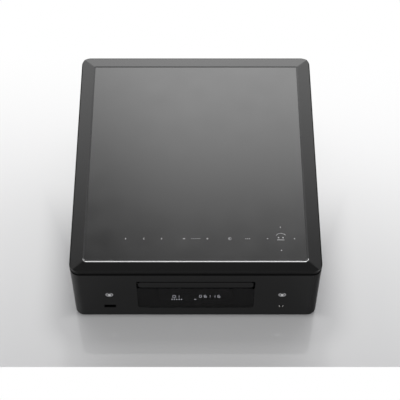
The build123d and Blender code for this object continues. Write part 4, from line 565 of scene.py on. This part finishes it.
lit = Finish(bpy.data.materials.new("lit_segment"))
glow = lit.mixed(lit.noise(1200.0), (0.8, 0.82, 0.85, 1), (1.0, 1.0, 1.0, 1))
lit.surface({"Base Color": (0.5, 0.5, 0.5, 1), "Roughness": 0.4, "Emission Color": glow,
             "Emission Strength": 2.9})
TRACK_Z, TIME_Z, SMALL_Z = 35.4, 35.8, 30.8
shown = []
for digit, x, z, w in (("0", -26.5, TRACK_Z, 3.8), ("1", -22.4, TRACK_Z, 3.7), ("0", 3.9, TIME_Z, 3.0),
                       ("6", 9.3, TIME_Z, 3.3), ("1", 18.9, TIME_Z, 3.4), ("6", 24.8, TIME_Z, 3.3)):
    shown += [segment(letter, x, z, w) for letter in SEGMENTS[digit]]
colon = [box_outline(15.9, 16.8, TIME_Z + up, TIME_Z + up + 0.9, 0.12) for up in (1.4, 4.1)]
track_bars = [box_outline(-27.8 + 2.7 * k, -26.7 + 2.7 * k, SMALL_Z, SMALL_Z + 2.2, 0.12) for k in range(5)]
dash = box_outline(-1.8, 0.5, SMALL_Z + 0.5, SMALL_Z + 1.6, 0.12)
shown += colon + track_bars + [dash]
marks("display_digits", shown, 0.05, lit.block, "display", lambda points: facing(points, LIT_Y))

# Front controls
# Two turned and polished metal buttons, each a small dish inside a groove and a flat ring, with painted shade
# in the groove and at the top of the ring; a USB socket coloured black all over, as painted shade for its
# slot; and the plated collar of the headphone jack, near black but for two painted glints.


def turned(profile, steps=64):
    """A turned piece about the line x = z = 0, from radii and depths: points of x, z and depth."""
    points = [(r * math.cos(2 * math.pi * k / steps), r * math.sin(2 * math.pi * k / steps), down)
              for r, down in profile for k in range(steps)]
    faces = []
    for ring in range(len(profile) - 1):
        for k in range(steps):
            a, b = ring * steps + k, ring * steps + (k + 1) % steps
            faces.append((a, b, b + steps, a + steps))
    faces += [tuple(range(steps)), tuple(range(len(points) - steps, len(points)))]
    return points, faces


DISH_R, DISH_DEPTH, LIP_R, FLANGE_R, STEM_R = 2.0, 0.45, 0.5, 5.95, 1.6
GROOVE_IN, GROOVE_OUT, TURNING_MARKS = 0.00208, 0.00278, 14000.0
BUTTON_FACE_Y = -152.4
spun = Finish(bpy.data.materials.new("spun_metal"))
x, y, z = spun.place()
across, up = abs(x) - BUTTON_X / 1000, z - BUTTON_Z / 1000
off = across * across + up * up
rings = off.math("SINE", off ** 0.5 * TURNING_MARKS)
outer = off > GROOVE_OUT ** 2
# Painted shade: the groove is coloured near black, and so is the top middle of the flat ring.
painted_top_shade = up.between(0.0008, 0.0026) * (1 - abs(across).between(0.0006, 0.0024)) * outer * 0.85
groove_and_top_shade = ((off > GROOVE_IN ** 2) * (1 - outer)).larger(painted_top_shade)
wear = spun.noise(900.0)
bright = spun.mixed(wear * 0.2 + outer * 0.8, (0.97, 0.97, 0.98, 1), (0.5, 0.5, 0.51, 1))
bump = spun.node("ShaderNodeBump", None, {"Strength": 0.2, "Distance": 0.00002, "Height": rings})
spun.surface({"Base Color": spun.mixed(groove_and_top_shade, bright, (0.03, 0.03, 0.03, 1)), "Metallic": 1.0,
              "Roughness": 0.14 + wear * 0.1, "Normal": bump})
dish = [(0.02 + DISH_R * k / 8, 0.6 - DISH_DEPTH * (k / 8) ** 2) for k in range(9)]
groove = [(2.1, 0.25), (2.15, 0.9), (2.7, 0.9), (2.75, 0.25), (2.85, 0.12), (3.0, 0.08)]
lip = [(BUTTON_R - LIP_R * (1 - math.sin(a)), 0.08 + LIP_R * (1 - math.cos(a)))
       for a in (0.2, 0.6, 1.1, math.pi / 2)]
stem = [(BUTTON_R, 3.15), (FLANGE_R, 3.2), (FLANGE_R, 4.2), (STEM_R, 4.2), (STEM_R, 5.6)]
for word, side in (("power", -1), ("eject", 1)):
    points, faces = turned(dish + groove + lip + stem)
    points = [(x + side * BUTTON_X, BUTTON_FACE_Y + down, z + BUTTON_Z) for x, z, down in points]
    piece(f"{word}_cap", points, faces, spun.block, "button", f"{word}_button", [f"{word}_button"])
collar = Finish(bpy.data.materials.new("plated_collar"))
x, y, z = collar.place()
# The collar is coloured near black, with two painted glints left and right of the bore, near its middle
# height.
level = (1 - z.between(0.0238, 0.0248)) * z.between(0.0208, 0.0218)
painted_glints = level * abs(x - JACK[0] / 1000).between(0.0002, 0.0008)
collar.surface({"Base Color": collar.mixed(painted_glints, (0.03, 0.03, 0.03, 1), (0.95, 0.94, 0.91, 1)),
                "Metallic": 1.0, "Roughness": 0.3 - painted_glints * 0.1})
dress(collar.block, "headphone_jack")
# The metal socket is coloured near black all over, as painted shade for its slot.
dress(moulded("usb_shade_black", (0.0015, 0.0015, 0.0015), 0.5, grain=0.05, more={"IOR": 1.2}), "usb_socket")

# Side panels
# Two walls of 2 mm steel sheet, painted satin black. Each is one piece that starts behind the front
# moulding and is bent round the rear corner into a short wing.

side_paint = moulded("side_satin_black", (0.012, 0.012, 0.0125), 0.3, grain=0.15, size=0.4)
WING = 3.0
wing_end = FLAT + 2 * ARC + LONG + WING
for word, side in (("left", -1), ("right", 1)):
    s0, s1 = sorted((side * front_end, side * wing_end))
    points, faces = wall(*plate([box_outline(s0, s1, *BODY_Z, 0.3)], 2.0, 0.3))
    piece(f"side_wall_{word}", points, faces, side_paint, "side", stands_for=[f"side_panel_{word}"])

# Waist band and cover
# A narrow satin band stands back under the lid. The lid is one piano-black moulding: an upright edge,
# then a slope on all four sides up to the glass.

band_satin = moulded("band_satin_black", (0.0015, 0.0015, 0.0016), 0.35, grain=0.05, vary=0.1,
                     more={"IOR": 1.16})
HEIGHT, EDGE_Z, COVER_Z = 107.0, 100.3, 99.1
band = box_outline(-wing_end, wing_end, BODY_Z[1], COVER_Z, 0.2)
points, faces = wall(*plate([band], 2.4, 0.2), inset=0.8)
piece("waist_step", points, faces, band_satin, "band", stands_for=["waist_band"])

RIM_FRONT, RIM_SIDE, RIM_BACK = 10.4, 15.7, 18.3
GLASS = (WIDTH - 2 * RIM_SIDE, DEPTH - RIM_FRONT - RIM_BACK, (RIM_FRONT - RIM_BACK) / 2, 3.0)


def plan_ring(width, depth, y, r, inset=0.0, steps=6):
    """The plan of a rounded rectangle, drawn in by inset, with a point on each corner's mitre."""
    half_w, half_d, r = width / 2 - inset, depth / 2 - inset, max(r - inset, 0.05)
    ring = []
    for sx, sy, run in ((-1, -1, RIM_FRONT), (1, -1, RIM_FRONT), (1, 1, RIM_BACK), (-1, 1, RIM_BACK)):
        bend = math.asin((RIM_SIDE - run) / math.hypot(RIM_SIDE, run)) + math.atan2(run, RIM_SIDE)
        turns = [bend * k / steps for k in range(steps)]
        turns += [bend + (math.pi / 2 - bend) * k / steps for k in range(steps + 1)]
        ring += [(sx * (half_w - r + r * math.cos(a)), y + sy * (half_d - r + r * math.sin(a)))
                 for a in (turns if sx == sy else turns[::-1])]
    return ring


def rim_ring(share, inset, z):
    """A ring of the lid: share runs from its outer edge to the glass."""
    outer = plan_ring(WIDTH, DEPTH, 0, CORNER, inset)
    inner = plan_ring(*GLASS, inset)
    return [(ax + (bx - ax) * share, ay + (by - ay) * share, z) for (ax, ay), (bx, by) in zip(outer, inner)]


def slope_ring(share, fall=0.0):
    """A ring on the lid's four slopes, which meet in mitred corners, or below them by fall."""
    ring = []
    for x, y, _ in rim_ring(share, 0, 0):
        near_end = (DEPTH / 2 + y) / RIM_FRONT if y < 0 else (DEPTH / 2 - y) / RIM_BACK
        height = min(1, near_end, (WIDTH / 2 - abs(x)) / RIM_SIDE)
        ring.append((x, y, EDGE_Z + height * slope - fall))
    return ring


def lofted(rings, closed=False):
    """Faces between matching rings. The last ring joins the first, or both ends are capped."""
    count = len(rings[0])
    points = [point for ring in rings for point in ring]
    faces = []
    for ring in range(len(rings) - (0 if closed else 1)):
        after = (ring + 1) % len(rings)
        for k in range(count):
            j = (k + 1) % count
            faces.append((ring * count + k, ring * count + j, after * count + j, after * count + k))
    if not closed:
        faces += [tuple(range(count)), tuple(range(len(points) - count, len(points)))]
    return points, faces


def curve(start, bend, end, steps=5):
    """Points on a curve that leaves start and reaches end along the lines through bend."""
    places = [k / steps for k in range(steps + 1)]
    return [tuple(a * (1 - t) ** 2 + 2 * b * t * (1 - t) + c * t * t for a, b, c in zip(start, bend, end))
            for t in places]


WALL, UNDER_Z, SEAT_Z = 2.4, 103.6, 105.2
SATIN_SHADE_BELOW, SATIN_SHADE_SIDE, SATIN_SHADE_BACK = (0.1001, 0.1004), (0.1386, 0.139), (0.151, 0.1514)
slope = HEIGHT - EDGE_Z
rings = [rim_ring(1, WALL, UNDER_Z), rim_ring(0, WALL, COVER_Z), rim_ring(0, 0.25, COVER_Z)]
rings.append(rim_ring(0, 0, COVER_Z + 0.25))
rings += [slope_ring(share, fall) for share, fall in curve((0, 0.45), (0, 0), (0.05, 0))]
rings += [slope_ring(0.35), slope_ring(0.65)]
rings += [slope_ring(share, fall) for share, fall in curve((0.97, 0), (1, 0), (1, 0.2))]
rings += [rim_ring(1, 0.2, HEIGHT - 0.5), rim_ring(1, 0.2, SEAT_Z)]
# The lid's upright edge all round, and its outer rounding at the sides and back, turn to satin: a darker copy
# with a weak shine that stands as painted shade in place of their reflections.
piano = two_shines("piano_black", (0.004, 0.004, 0.0042), 0.1, 1.5, lambda x, y, z: (
    1 - z.between(*SATIN_SHADE_BELOW)).larger(abs(x).between(*SATIN_SHADE_SIDE)).larger(y.between(*SATIN_SHADE_BACK)))
piece("lid", *lofted(rings), piano, "rim", stands_for=["top_cover"], sharp=26)

# Glass and trim
# A sheet of black glass lies in the lid inside a thin frame. The frame is anodised black, and its
# front edge is cut bright. Touch symbols are printed in white on the glass.

CUT_END, LEDGE_Z = (-0.1394, -0.1382), 106.9
trim = Finish(bpy.data.materials.new("trim_bright_front"))
x, y, z = trim.place()
cut = (1 - y.between(*CUT_END)) * (abs(z - LEDGE_Z / 1000) > 0.00001)
tone = trim.mixed(cut, (0.012, 0.012, 0.013, 1), (0.92, 0.92, 0.93, 1))
trim.surface({"Base Color": tone, "Metallic": cut,
              "Roughness": 0.2 + (1 - cut) * 0.1 - y.between(0.0, 0.12) * 0.18})
trim_profile = ((0.2, SEAT_Z), (-0.76, 106.16), (-0.76, 106.46), (-0.3, 106.92), (-0.2, HEIGHT),
                (0.32, HEIGHT), (0.4, LEDGE_Z), (1.4, LEDGE_Z), (1.5, 106.82), (1.5, SEAT_Z))
rings = [[(x, y, height) for x, y in plan_ring(*GLASS, inset)] for inset, height in trim_profile]
piece("bright_trim", *lofted(rings, closed=True), trim.block, "trim", stands_for=["glass_trim"])

GLASS_Z, PRINT_Z, GLASS_INSET = 106.8, 106.825, 1.55
glass = moulded("black_touch_glass", (0.004, 0.004, 0.0043), 0.12, grain=0.0, vary=0.05, more={"IOR": 1.85})
points, faces = plate([plan_ring(*GLASS, GLASS_INSET)], 1.6, 0.25)
piece("glass_sheet", [(x, y, GLASS_Z - down) for x, y, down in points], faces, glass, "touch_glass",
      stands_for=["touch_glass"])

DOT, ROW = 0.68, -112.8
white_print = moulded("white_print", (0.55, 0.55, 0.56), 0.5, grain=0.1)


def arc_mark(x, y, r, start, stop, stroke=0.5, steps=16):
    """The outline of a stroke on a circle, from one angle to another in degrees."""
    turns = [math.radians(start + (stop - start) * k / steps) for k in range(steps + 1)]
    inner, outer = r - stroke / 2, r + stroke / 2
    return ([(x + outer * math.cos(a), y + outer * math.sin(a)) for a in turns]
            + [(x + inner * math.cos(a), y + inner * math.sin(a)) for a in turns[::-1]])


def bar_mark(x, y, w, h):
    """The outline of a bar about x and y."""
    return box_outline(x - w / 2, x + w / 2, y - h / 2, y + h / 2, min(w, h) * 0.2)


bar = bar_mark(-78.1, ROW, 1.0, 1.7)
chevron = [(-58.9, ROW), (-57.5, ROW - 1.5), (-57.1, ROW - 1.2), (-58.2, ROW), (-57.1, ROW + 1.2),
           (-57.5, ROW + 1.5)]
arrow = [(-38.6, ROW - 1.3), (-37.1, ROW), (-38.6, ROW + 1.3)]
minus = bar_mark(-13.1, ROW, 2.4, 0.8)
scale = [circle(-4.6 + 2.3 * k, ROW, 0.42, 16) for k in range(5)]
plus = [(12.9 + dx, ROW + dy) for dx, dy in (
    (-0.3, -1.1), (0.3, -1.1), (0.3, -0.3), (1.1, -0.3), (1.1, 0.3), (0.3, 0.3), (0.3, 1.1), (-0.3, 1.1),
    (-0.3, 0.3), (-1.1, 0.3), (-1.1, -0.3), (-0.3, -0.3))]
dial = [[circle(37.9, ROW, 1.8, 32), circle(37.9, ROW, 1.4, 32)], circle(37.4, ROW, 0.6, 20)]
menu = [circle(55.6 + 2.2 * k, ROW, 0.5, 16) for k in range(3)]
ways = [circle(x, y, DOT, 20) for x, y in ((79.9, ROW), (110, ROW), (94.9, -97.8), (94.9, -128.0))]
centre = [arc_mark(95, -112.3, 6.5, 38, 146), bar_mark(94.6, -114.4, 8.0, 0.7)]
centre += [circle(x, -111.5, 0.85, 20) for x in (92.2, 97.3)]
symbols = [bar, chevron, arrow, minus] + scale + [plus] + dial + menu + ways + centre
marks("touch_symbols", symbols, 0.03, white_print, "touch_glass",
      lambda points: [(x, y, PRINT_Z - down) for x, y, down in points])
